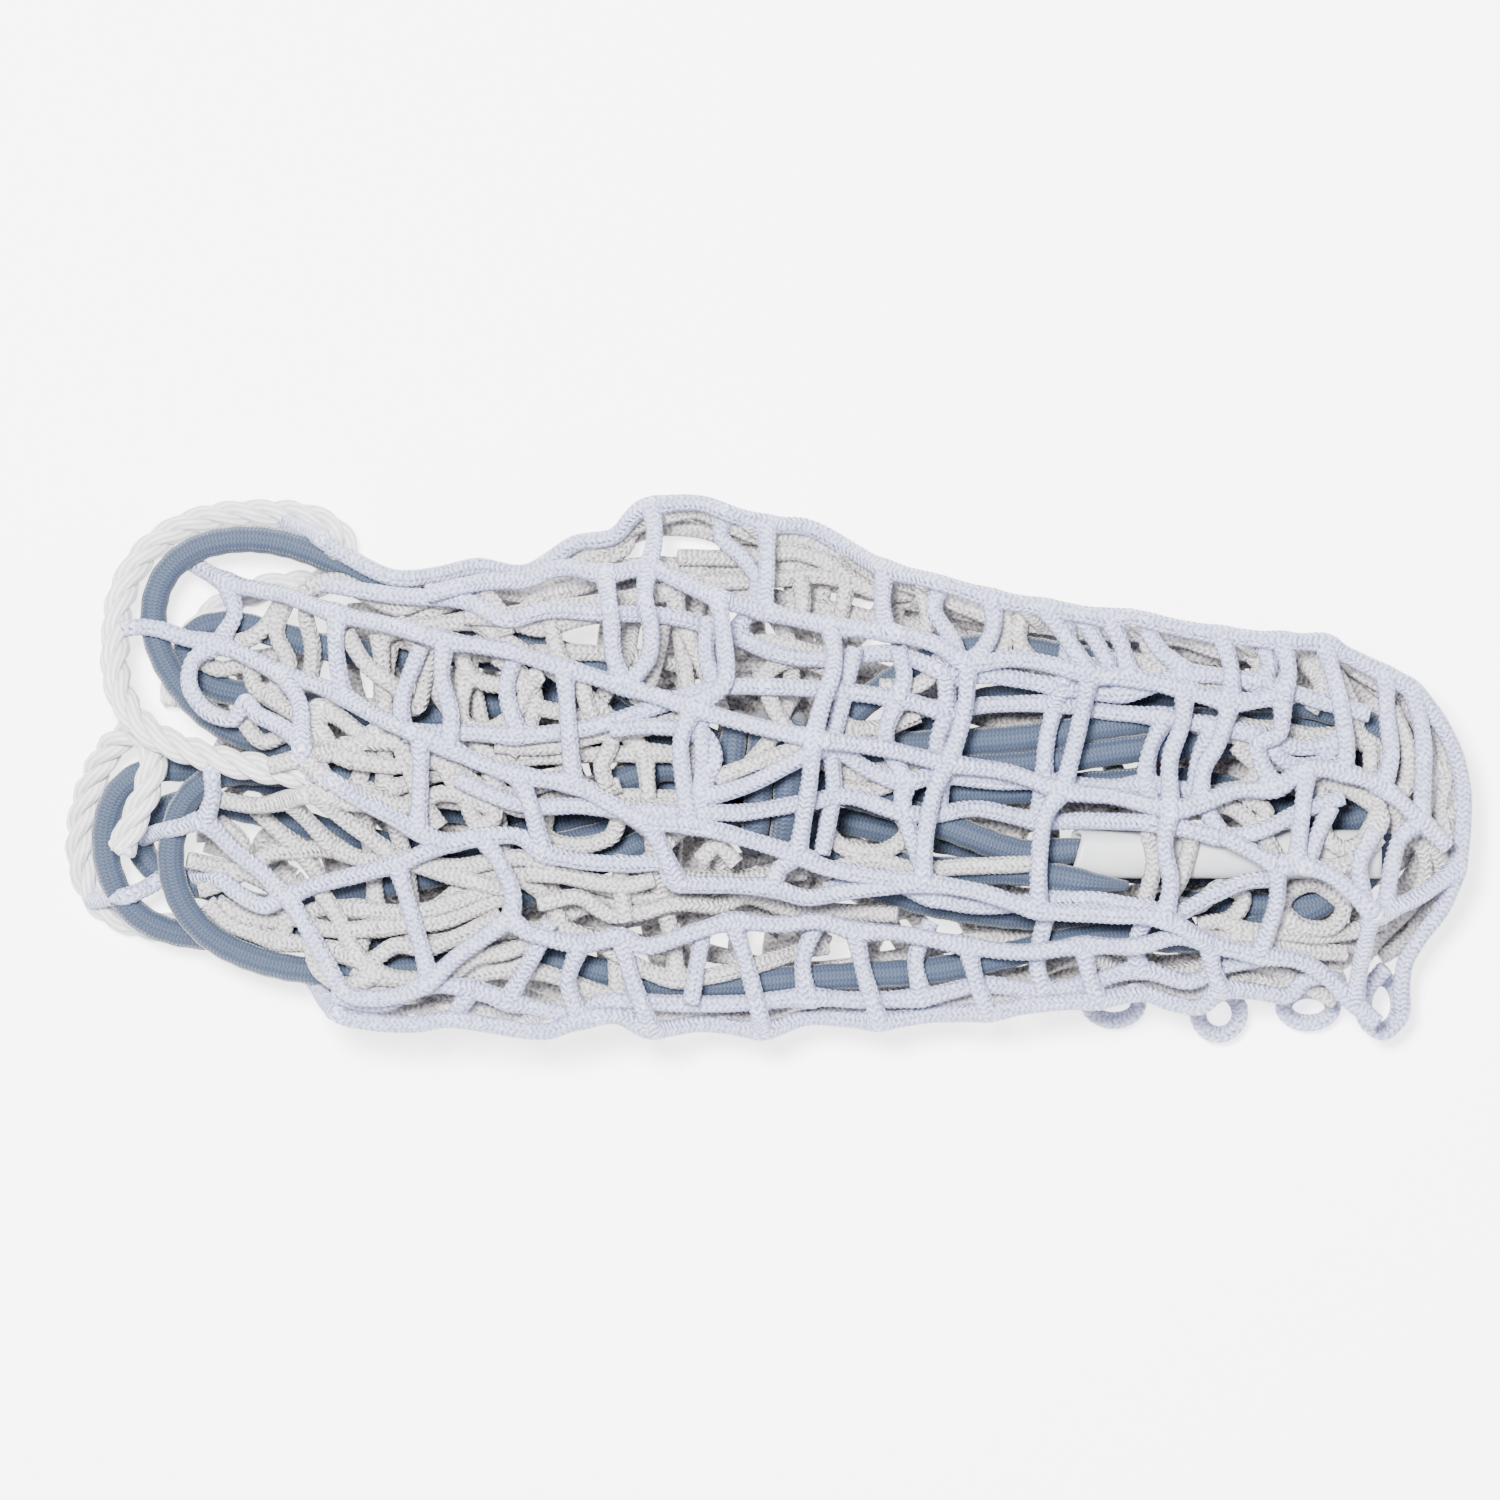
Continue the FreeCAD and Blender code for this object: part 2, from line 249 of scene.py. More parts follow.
class Finish:
    """A material: plain values sit on its shader, and what varies is added as expressions."""

    def __init__(self, name, **plain):
        self.material = bpy.data.materials.new(name)
        self.material.use_nodes = True
        self.tree = self.material.node_tree
        self.shader = self.tree.nodes["Principled BSDF"]
        for socket, value in plain.items():
            self.shader.inputs[socket.replace("_", " ")].default_value = value
        lay = self.node("ShaderNodeUVMap", {"uv_map": "Lay"}, {})
        parts = self.node("ShaderNodeSeparateXYZ", {}, {"Vector": lay.outputs[0]})
        self.along = Signal(self, parts.outputs["X"]) * 1000
        self.around = Signal(self, parts.outputs["Y"])
        self.place = self.node("ShaderNodeTexCoord", {}, {}).outputs["Object"]

    def node(self, kind, settings, sockets):
        """Any node: its settings first, then the values or links of its sockets."""
        node = self.tree.nodes.new(kind)
        for name, value in settings.items():
            setattr(node, name, value)
        for name, value in sockets.items():
            if isinstance(value, Signal):
                value = value.socket
            if isinstance(value, bpy.types.NodeSocket):
                self.tree.links.new(value, node.inputs[name])
            else:
                node.inputs[name].default_value = value
        return node

    def maths(self, operation, *values):
        node = self.node("ShaderNodeMath", {"operation": operation}, dict(enumerate(values)))
        return Signal(self, node.outputs[0])

    def wave(self, turns):
        """A smooth wave from 0 to 1 that repeats once for each whole turn."""
        return self.maths("SINE", turns * TURN) * 0.5 + 0.5

    def zigzag(self, turns):
        """A sharp wave from 0 to 1 that repeats once for each whole turn."""
        return self.maths("PINGPONG", turns, 0.5) * 2

    def noise(self, scale, detail=2.0, vector=None):
        """Even cloudy noise over the object's own space, from 0 to 1."""
        sockets = {"Vector": vector or self.place, "Scale": scale, "Detail": detail}
        return Signal(self, self.node("ShaderNodeTexNoise", {}, sockets).outputs[0])

    def above(self, value, low, high):
        """0 where the value is under low, 1 where it is over high."""
        sockets = {"Value": value, "From Min": low, "From Max": high}
        node = self.node("ShaderNodeMapRange", {"interpolation_type": "SMOOTHSTEP"}, sockets)
        return Signal(self, node.outputs[0])

    def mix(self, share, first, second):
        """A colour between two others."""
        settings = {"data_type": "RGBA"}
        sockets = {0: share, 6: first, 7: second}
        return self.node("ShaderNodeMix", settings, sockets).outputs[2]

    def colour(self, value):
        self.node_link("Base Color", value)

    def roughness(self, value):
        self.node_link("Roughness", value)

    def node_link(self, socket, value):
        source = value.socket if isinstance(value, Signal) else value
        self.tree.links.new(source, self.shader.inputs[socket])

    def relief(self, height, depth, strength=1.0):
        """Fine surface relief, its depth in metres."""
        sockets = {"Height": height, "Distance": depth, "Strength": strength}
        bump = self.node("ShaderNodeBump", {}, sockets)
        self.node_link("Normal", bump.outputs[0])


STITCH = 1.9
WALES = 5


def knitted_net(name, top, painted_recess_shade):
    """White knitted cord: rows of small slanting stitches, fine filaments and glossy flecks; its
    colour darkens between stitches as painted shade and lightens on the flecks as painted glints.
    """
    finish = Finish(name, Sheen_Weight=0.1, Sheen_Roughness=0.4)
    wale = finish.zigzag(finish.around * WALES)
    uneven = finish.noise(260, 2.0)
    stitch = finish.wave(finish.along / STITCH + wale * 0.5 + uneven * 0.7)
    filament = finish.wave(finish.along / 0.5 + finish.around * 13 + wale * 1.5)
    loose_fibre_and_painted_glint = finish.above(finish.noise(700, 3.0), 0.3, 0.72)
    height = stitch * 0.7 + finish.above(wale, 0.0, 0.5) * 0.3 + filament * 0.2 + loose_fibre_and_painted_glint * 0.45
    finish.relief(height, 0.0014, 1.0)
    # Painted shade and glints: the colour goes to the darker recess colour between stitches, and to
    # the light colour on stitch crests and on the noise flecks
    painted_shade_and_glint_share = finish.above(stitch * 0.55 + loose_fibre_and_painted_glint * 0.6, 0.05, 0.9)
    finish.colour(finish.mix(painted_shade_and_glint_share, painted_recess_shade, top))
    finish.roughness(0.6 - finish.above(finish.noise(1000, 1.0), 0.6, 0.7) * 0.45)
    return finish.material


def woven_sheath():
    """Blue-grey elastic sheath: tight cross ribs between fine lengthwise ridges, its colour darker
    where the relief is low, as painted shade in the grooves.
    """
    finish = Finish("elastic_sheath", Sheen_Weight=0.25, Sheen_Roughness=0.35)
    ridge = finish.wave(finish.around * 14)
    rib = finish.wave(finish.along / 1.25 + finish.wave(finish.around * 14) * 0.35)
    thread = finish.wave(finish.along / 0.31 + finish.around * 5)
    height = rib * 0.6 + ridge * 0.28 + thread * 0.12
    finish.relief(height, 0.00045, 0.85)
    patch = finish.noise(60, 2.0)
    # Painted shade: the colour follows the relief, darker in the grooves between ribs and ridges
    shade = finish.mix(height, (0.014, 0.024, 0.047, 1), (0.043, 0.064, 0.112, 1))
    finish.colour(finish.mix(patch * 0.3, shade, (0.036, 0.052, 0.094, 1)))
    finish.roughness(0.72 - rib * 0.12)
    return finish.material


def laid_rope():
    """White laid rope: bundles of glossy filaments that run along each strand, its colour darker in
    the grooves between yarns and hairs as painted shade.
    """
    finish = Finish("laid_rope", Sheen_Weight=0.1, Sheen_Roughness=0.3)
    yarn = finish.wave(finish.around * 7 + finish.along / 9)
    hair = finish.wave(finish.around * 31 + finish.along / 4 + finish.noise(300, 2.0))
    height = yarn * 0.6 + hair * 0.4
    finish.relief(height, 0.0004, 0.8)
    # Painted shade: the colour follows the relief, dark grey in the grooves and white on the yarns
    finish.colour(finish.mix(height, (0.40, 0.39, 0.40, 1), (0.80, 0.81, 0.86, 1)))
    finish.roughness(0.42 - finish.above(finish.noise(700, 1.0), 0.55, 0.7) * 0.2)
    return finish.material


def sleeve_plastic():
    """Off-white flexible plastic, satin, with faint ripples and scuffs; its colour is darker in the
    ripples' dips as painted shade.
    """
    finish = Finish("sleeve_plastic", Coat_Weight=0.15, Coat_Roughness=0.25)
    ripple = finish.noise(90, 2.0)
    scuff = finish.noise(700, 3.0)
    finish.relief(ripple * 0.8 + scuff * 0.2, 0.0006, 0.5)
    # Painted shade: the colour follows the ripple relief, darker where it dips
    finish.colour(finish.mix(ripple, (0.33, 0.34, 0.35, 1), (0.46, 0.47, 0.49, 1)))
    finish.roughness(0.34 + scuff * 0.18)
    return finish.material


def floor_finish():
    """Plain matte white surface."""
    finish = Finish("floor", Roughness=0.9, Specular_IOR_Level=0.2, Emission_Strength=2.2)
    finish.shader.inputs["Emission Color"].default_value = (1, 1, 1, 1)
    finish.colour(finish.mix(finish.noise(3, 1.0), (0.93, 0.93, 0.93, 1), (0.95, 0.95, 0.95, 1)))
    return finish.material


# One netting in two copies: the upper folds' bluish with painted cool light, the deeper folds' warm
# grey with painted shade
NETTING_PAINTED_COOL_LIGHT = knitted_net("netting_top", (0.70, 0.73, 1.0, 1), (0.34, 0.36, 0.58, 1))
NETTING_PAINTED_WARM_SHADE = knitted_net("netting_painted_warm_shade", (0.77, 0.74, 0.76, 1), (0.38, 0.35, 0.35, 1))
SHEATH = woven_sheath()
ROPE = laid_rope()
SLEEVE = sleeve_plastic()

# ---------------------------------------------------------------- cords

# The border ropes, from their fused ends that show to where the net covers them
REAR_ROPE = [
    (-0.197, 0.0215, 0.006), (-0.1965, 0.035, 0.0052), (-0.187, 0.050, 0.0052),
    (-0.174, 0.059, 0.0052), (-0.160, 0.0615, 0.0055), (-0.147, 0.0615, 0.006),
    (-0.1395, 0.068, 0.007), (-0.1405, 0.078, 0.008), (-0.150, 0.084, 0.009),
    (-0.165, 0.0855, 0.010), (-0.187, 0.084, 0.012), (-0.204, 0.075, 0.015),
    (-0.2135, 0.060, 0.020), (-0.215, 0.042, 0.027), (-0.2135, 0.025, 0.036),
    (-0.203, 0.0115, 0.0435), (-0.184, 0.004, 0.047), (-0.164, 0.0, 0.050),
    (-0.143, -0.003, 0.0538),
]
FRONT_ROPE = [
    (-0.212, -0.027, 0.0375), (-0.2065, -0.015, 0.0386), (-0.2015, -0.003, 0.0389),
    (-0.201, 0.008, 0.034), (-0.208, 0.014, 0.025), (-0.217, 0.008, 0.018),
    (-0.224, -0.004, 0.012), (-0.2283, -0.018, 0.008), (-0.2284, -0.034, 0.0054),
    (-0.221, -0.047, 0.0052), (-0.207, -0.053, 0.0052), (-0.190, -0.053, 0.0052),
    (-0.172, -0.050, 0.0052), (-0.155, -0.048, 0.006), (-0.142, -0.048, 0.008),
]

# The elastic cord's travel, in millimetres, from the end in the sleeve. Each stretch runs
# between the waist, where the hank is bound, and one of its bends.
WAIST = {"rear": 5, "middle": -4.5, "front": -14, "high": 42, "mid": 33, "low": 24}


def waist(row, level, out):
    """Where a run passes the bound waist, on its way out to the left or right."""
    return [(side * 11, WAIST[row], WAIST[level]) for side in (-out, out)]


FROM_SLEEVE = [(112, -26.5, 40.2), (101, -26.4, 40.2), (86, -29, 39), (62, -19.5, 39), (36, -10, 40)]
BEND_B = [
    (-30, 2, 41), (-48, -4, 39), (-63, -10, 38), (-82, -10, 37), (-108, -6, 37),
    (-135, -3, 37), (-160, -1, 37), (-178, -0.5, 35), (-189, -7, 32), (-195, -18, 30),
    (-196.8, -31, 28), (-193.5, -44, 27), (-185, -55, 27), (-171, -62.5, 29),
    (-153, -66.8, 33), (-130, -67, 36), (-104, -65, 37), (-80, -62, 37), (-60, -65, 37),
    (-38, -70.5, 37), (-12, -71.5, 37), (12, -69, 37), (36, -67.8, 37), (58, -66.5, 37),
    (78, -62, 37), (98, -57, 36), (118, -54.5, 35), (138, -57, 34), (160, -54, 33),
    (180, -48, 31), (197, -36, 29), (202, -18, 29), (195, -3, 31), (178, 5, 34),
    (157, 8.5, 36), (136, 8, 37), (116, 6, 37), (98, 3, 37), (78, 1, 36), (50, 0.5, 35),
    (30, 2, 34),
]
BEND_A = [
    (-30, 7, 33), (-50, 8.5, 35), (-68, 5, 37), (-88, 2.5, 38), (-112, 3, 38),
    (-137, 5, 37), (-158, 7.5, 36), (-174, 11.5, 33), (-186, 19, 29), (-195, 29, 25),
    (-201.5, 41, 23), (-203, 54, 22), (-198.5, 66, 22), (-188, 74, 23), (-173, 76.8, 26),
    (-158, 75, 29), (-143, 69.5, 33), (-125, 60.5, 37), (-102, 49.5, 39), (-78, 41.5, 40),
    (-60, 36, 40), (-42, 25, 41), (-27, 14, 42),
]
BEND_REAR_RIGHT = [
    (24, 14, 41), (38, 26, 39), (56, 38, 38), (78, 41, 38), (100, 37, 38), (122, 33.5, 37),
    (145, 29, 36), (166, 24, 35), (186, 20, 34), (203, 14, 33), (210, 0, 32), (204, -14, 30),
    (190, -18, 29), (170, -12, 28), (150, -5, 29), (128, -3.5, 30), (104, -5.5, 31),
    (76, -8, 32), (48, -8, 33), (28, -6, 33),
]
BEND_D = [
    (-30, -8, 33), (-52, -14, 32), (-72, -20, 31), (-94, -26, 29), (-116, -27, 28),
    (-140, -22, 26), (-164, -15, 24), (-184, -11, 22), (-199, -12, 20), (-208, -21, 18.5),
    (-206, -31, 18), (-195, -37, 18), (-182, -39.5, 19), (-171, -45.5, 21), (-157, -47, 24),
    (-140, -41.8, 28), (-120, -37, 32), (-100, -33, 35), (-78, -28, 36), (-54, -22, 35),
    (-30, -16, 34),
]
BEND_FRONT_RIGHT = [
    (22, -24, 33), (33, -37, 33), (48, -43, 33), (68, -47, 32), (92, -49.5, 30),
    (118, -47, 29), (142, -44, 30), (164, -45.5, 31), (183, -45, 31), (199, -38, 28),
    (206, -22, 25), (206, -3, 24), (196, 10, 25), (178, 14, 28), (158, 15, 30),
    (136, 16.5, 33), (114, 14.5, 36), (94, 11, 37), (72, 9, 36), (46, 8, 31), (26, 6, 26),
]
BEND_E = [
    (-30, 12, 25), (-48, 18, 26), (-68, 23, 28), (-92, 21.5, 31), (-114, 15.5, 32),
    (-136, 17, 30), (-155, 21.5, 27), (-172, 24.5, 23), (-185, 27.5, 20), (-193, 36, 18),
    (-190, 46, 18), (-178, 49, 18), (-162, 45, 21), (-146, 40, 25), (-126, 37.5, 28), (-104, 39, 30),
    (-82, 36, 30), (-60, 26, 28), (-38, 12, 26), (-26, 2, 24.5),
]
BEND_LOW_RIGHT = [
    (28, 4, 24), (50, 16, 24), (76, 24, 25), (104, 26, 25), (132, 24, 25), (158, 19, 24),
    (180, 9, 23), (193, -6, 22), (190, -22, 22), (174, -32, 22), (150, -35, 22),
    (122, -34, 23), (94, -30, 24), (66, -25, 25), (44, -21, 25), (26, -17, 24),
]
BEND_C = [
    (-30, -18, 24), (-54, -17, 25), (-80, -16, 26), (-108, -13, 26), (-136, -9, 26),
    (-164, -4, 26), (-186, 0, 26), (-203, 0.5, 25), (-214, -6, 23), (-218.8, -18, 21),
    (-218.5, -31, 20), (-213.5, -43.5, 19), (-204, -52, 19), (-189, -56, 19),
    (-166, -56, 21), (-140, -57, 25), (-117, -56, 29), (-100, -51, 33), (-84, -43.5, 36),
    (-62, -34, 38), (-38, -24, 40),
]
TO_TIP = [
    (24, -28, 38), (40, -31.5, 39), (60, -33.5, 39), (82, -33.5, 42.5), (97, -35.5, 47),
    (104, -36.7, 48), (111, -37.6, 46.8), (119.5, -38.4, 44),
]


def binding_turns():
    """The last turns of the cord, bound tight round the hank's waist."""
    steps, per_turn = 33, 12
    middle_y, middle_z = -4.5, 33
    half_y, half_z = 20, 18.5
    points = []
    for k in range(steps + 1):
        angle = TURN * (0.25 - k / per_turn)
        squareness = 0.72
        c, s = math.cos(angle), math.sin(angle)
        y = middle_y + half_y * math.copysign(abs(c) ** squareness, c)
        z = middle_z + half_z * math.copysign(abs(s) ** squareness, s)
        points.append((-11 + 9.4 * k / per_turn, y, z))
    return points


def elastic_route():
    """The whole cord: out and back through the waist from bend to bend, then bound round it."""
    left, right = 1, -1
    travel = FROM_SLEEVE + waist("middle", "high", right)
    travel += BEND_B + waist("rear", "mid", right)
    travel += BEND_A + waist("rear", "high", left)
    travel += BEND_REAR_RIGHT + waist("middle", "mid", right)
    travel += BEND_D + waist("front", "mid", left)
    travel += BEND_FRONT_RIGHT + waist("rear", "low", right)
    travel += BEND_E + waist("middle", "low", left)
    travel += BEND_LOW_RIGHT + waist("front", "low", right)
    travel += BEND_C + binding_turns() + TO_TIP
    return [(x * MM, y * MM, z * MM) for x, y, z in travel]


def sheath_radius(along, angle):
    """The sheath's faint cross ribs: the cord is squeezed in the sleeve and tapers at its tip."""
    rib = 0.00012 * np.sin(TURN * along / 0.00125)
    ridge = 0.00010 * np.cos(14 * angle)
    end = along[-1, 0]
    tip = np.clip((along - (end - 0.018)) / 0.018, 0, 1)
    squeeze = 1 - np.clip((along - 0.009) / 0.004, 0, 1)
    return (ELASTIC_DIAMETER / 2 + rib + ridge) * (1 - 0.62 * tip) * (1 - 0.13 * squeeze)


def make_elastic():
    """The elastic cord, one piece from end to end."""
    line = cord_line("elastic_cord", elastic_route(), 0.0015)
    weave = Weave()
    weave.cord(line, 20, sheath_radius)
    piece = weave.piece("elastic_cord", SHEATH)
    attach(piece, "root")
    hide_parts("elastic_hank")
    return line


def make_rope(name, node, route):
    """A three-strand rope: each strand winds round the rope's line, and its ends are fused."""
    line = cord_line(name, route, 0.001)
    length = float(np.linalg.norm(np.diff(line, axis=0), axis=1).sum())
    across, up = travelling_frame(line)
    along = np.linspace(0, length, len(line))
    strand_radius = ROPE_DIAMETER * 0.245
    winding_radius = ROPE_DIAMETER / 2 - strand_radius
    lay_length = 0.030
    weave = Weave()
    for strand in range(3):
        angle = TURN * (strand / 3 + along / lay_length)
        offset = across * np.cos(angle)[:, None] + up * np.sin(angle)[:, None]
        centre = even_line(line + winding_radius * offset, 0.001)
        weave.cord(centre, 12, lambda s, a: strand_radius * (1 + 0.05 * np.cos(7 * a + s * 700)))
    for end, inward in ((line[0], line[3]), (line[-1], line[-4])):
        fused = even_line([end, end + (inward - end) * 0.9], 0.0004)
        depth = np.linalg.norm(fused[-1] - fused[0])
        weave.cord(
            fused, 18,
            lambda s, a: ROPE_DIAMETER * (0.40 + 0.10 * np.sin(np.clip(s / depth, 0, 1) * math.pi))
            + 0.0002 * np.cos(5 * a))
    piece = weave.piece(name, ROPE)
    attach(piece, "root")
    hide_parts(node)
    return line


elastic_line = make_elastic()
rear_rope_line = make_rope("rear_border_rope", "border_rope_rear", REAR_ROPE)
front_rope_line = make_rope("front_border_rope", "border_rope_front", FRONT_ROPE)


def make_sleeve():
    """The joining sleeve: a thin oval tube, a little crushed, open at both ends."""
    low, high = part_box("joining_sleeve")
    middle_y, middle_z = (low[1] + high[1]) / 2, (low[2] + high[2]) / 2
    half_y, half_z = (high[1] - low[1]) / 2, (high[2] - low[2]) / 2
    wall = 0.0014
    rings, sides = 60, 40
    places, faces = [], []
    for inset in (0, wall):
        for i in range(rings):
            share = i / (rings - 1)
            x = low[0] + (high[0] - low[0]) * share
            crush = 1 - 0.06 * math.sin(share * 9.0) ** 2
            for j in range(sides):
                angle = TURN * j / sides
                c, s = math.cos(angle), math.sin(angle)
                y = (half_y - inset) * math.copysign(abs(c) ** 0.75, c)
                z = (half_z - inset) * math.copysign(abs(s) ** 0.75, s) * crush
                places.append((x + 0.0015 * math.sin(angle * 2) * (share < 0.02), middle_y + y,
                               middle_z + z))
    skin_size = rings * sides
    for i in range(rings - 1):
        for j in range(sides):
            k = (j + 1) % sides
            outer = [i * sides + j, i * sides + k, (i + 1) * sides + k, (i + 1) * sides + j]
            faces.append(outer[::-1])
            faces.append([skin_size + corner for corner in outer])
    for i in (0, rings - 1):
        for j in range(sides):
            k = (j + 1) % sides
            rim = [i * sides + j, i * sides + k, skin_size + i * sides + k,
                   skin_size + i * sides + j]
            faces.append(rim if i == 0 else rim[::-1])
    mesh = bpy.data.meshes.new("joining_sleeve_skin")
    mesh.from_pydata(places, [], faces)
    mesh.polygons.foreach_set("use_smooth", [True] * len(mesh.polygons))
    mesh.materials.append(SLEEVE)
    mesh.update()
    piece = bpy.data.objects.new("joining_sleeve_skin", mesh)
    bpy.context.scene.collection.objects.link(piece)
    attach(piece, "root")
    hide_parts("joining_sleeve")


make_sleeve()

# ---------------------------------------------------------------- the net, in millimetres

# The bundle's rear and front edges, as (x, y), which keep the hidden folds inside it
REAR_EDGE = [
    (-190, 36), (-146, 46), (-136, 58), (-122, 60), (-95, 63), (-70, 66), (-50, 70),
    (-20, 74), (10, 72), (40, 62),
    (75, 53), (113, 47), (150, 41), (190, 35), (214, 20), (228, -10),
]
FRONT_EDGE = [
    (-190, -36), (-146, -42), (-136, -68), (-120, -78), (-80, -82), (-36, -83),
    (0, -82), (38, -79), (75, -75),
    (110, -72), (150, -68), (190, -66), (214, -55), (228, -20),
]

# The outermost fold: long rows from rear to front, then the short strands between them
ROW_REAR_EDGE = [
    (-160, 83), (-148, 77), (-137, 70), (-122, 63), (-108, 64), (-95, 67), (-80, 65),
    (-70, 70), (-62, 75), (-50, 77), (-43, 84), (-37, 87), (-22, 88), (-10, 84), (1, 81),
    (15, 80), (28, 73), (40, 66), (58, 61), (75, 56), (92, 53), (113, 49.5), (120, 50),
    (135, 46.5), (150, 44), (170, 42), (184, 41.5), (191, 38), (205, 31), (214, 26),
    (222, 17), (228, 6), (231, -6), (231, -20), (229, -33), (225, -45), (218, -55), (213, -64),
    (212, -74), (212, -82), (206, -87.5), (200, -83), (200, -74), (206, -66),
]
ROW_REAR = [
    (-110, 57), (-92, 61), (-78, 62), (-66, 66), (-52, 64), (-38, 66), (-28, 62), (-15, 56),
    (0, 52), (22, 47), (40, 45), (56, 41), (67, 35), (85, 36), (107, 31), (120, 30),
    (138, 26), (153, 22), (170, 24),
]
ROW_UPPER = [
    (-191, 69), (-178, 62), (-166, 59), (-157, 57), (-140, 51), (-122, 47), (-104, 42),
    (-85, 39), (-65, 33), (-45, 27), (-23, 20), (-8, 15.5), (16, 10), (38, 7), (60, 2),
    (80, -1), (98, -7), (115, -9), (133, -13), (143, -11), (155, -7), (168, -6), (178, 0),
    (190, -1), (203, -6), (216, -17), (225, -26),
]
ROW_LOWER = [
    (-213, 46.5), (-206, 47), (-199, 46), (-190, 43), (-180, 41), (-170, 37), (-158, 31), (-148, 28),
    (-138, 24), (-126, 17), (-112, 11), (-103, 7), (-92, 2), (-80, -2), (-62, -5),
    (-50, -11), (-38, -17), (-24, -18), (-8, -22), (11, -28), (20, -32), (35, -35),
    (52, -37), (70, -40), (90, -46), (110, -47.5), (131, -49), (146, -57), (163, -61),
    (176, -63), (185, -68), (195, -77), (203, -84),
]
ROW_INNER_FRONT = [
    (-150, -1), (-142, -3), (-133, -9), (-124, -14), (-113, -20), (-104, -24), (-92, -22),
    (-80, -22), (-72, -27), (-60, -30), (-45, -31), (-33, -31), (-28, -37), (-10, -38),
    (3, -39), (14, -42), (28, -40), (52, -37),
]
ROW_BARE_LEFT = [
    (-206, -23), (-201, -21), (-192, -19), (-184, -17.5), (-175, -26), (-165, -34), (-157, -41),
    (-147, -38), (-135, -35), (-120, -31), (-104, -24),
]
ROW_LEFT_FRONT = [
    (-157, -41), (-150, -52), (-144, -62), (-137, -73), (-128, -75), (-118, -73.5),
    (-109, -69), (-100, -61), (-90, -54), (-83, -50), (-75, -54), (-60, -57), (-47, -55),
    (-38, -58), (-22, -53), (-10, -50), (5, -51), (18, -50), (30, -53), (45, -54),
    (67, -58), (85, -60), (105, -58), (122, -58), (135, -55), (146, -57),
]
ROW_FRONT_EDGE = [
    (-151, -68), (-140, -80), (-128, -83), (-115, -83.5), (-102, -82), (-88, -84),
    (-72, -86), (-60, -82), (-48, -81), (-37, -85.5), (-20, -84), (0, -86), (15, -82),
    (38, -83), (55, -81), (74, -80), (92, -77), (110, -76), (125, -74), (134, -77),
    (144, -78.5), (151, -73), (162, -73.5), (173, -75), (179, -70), (187, -69), (195, -77),
]
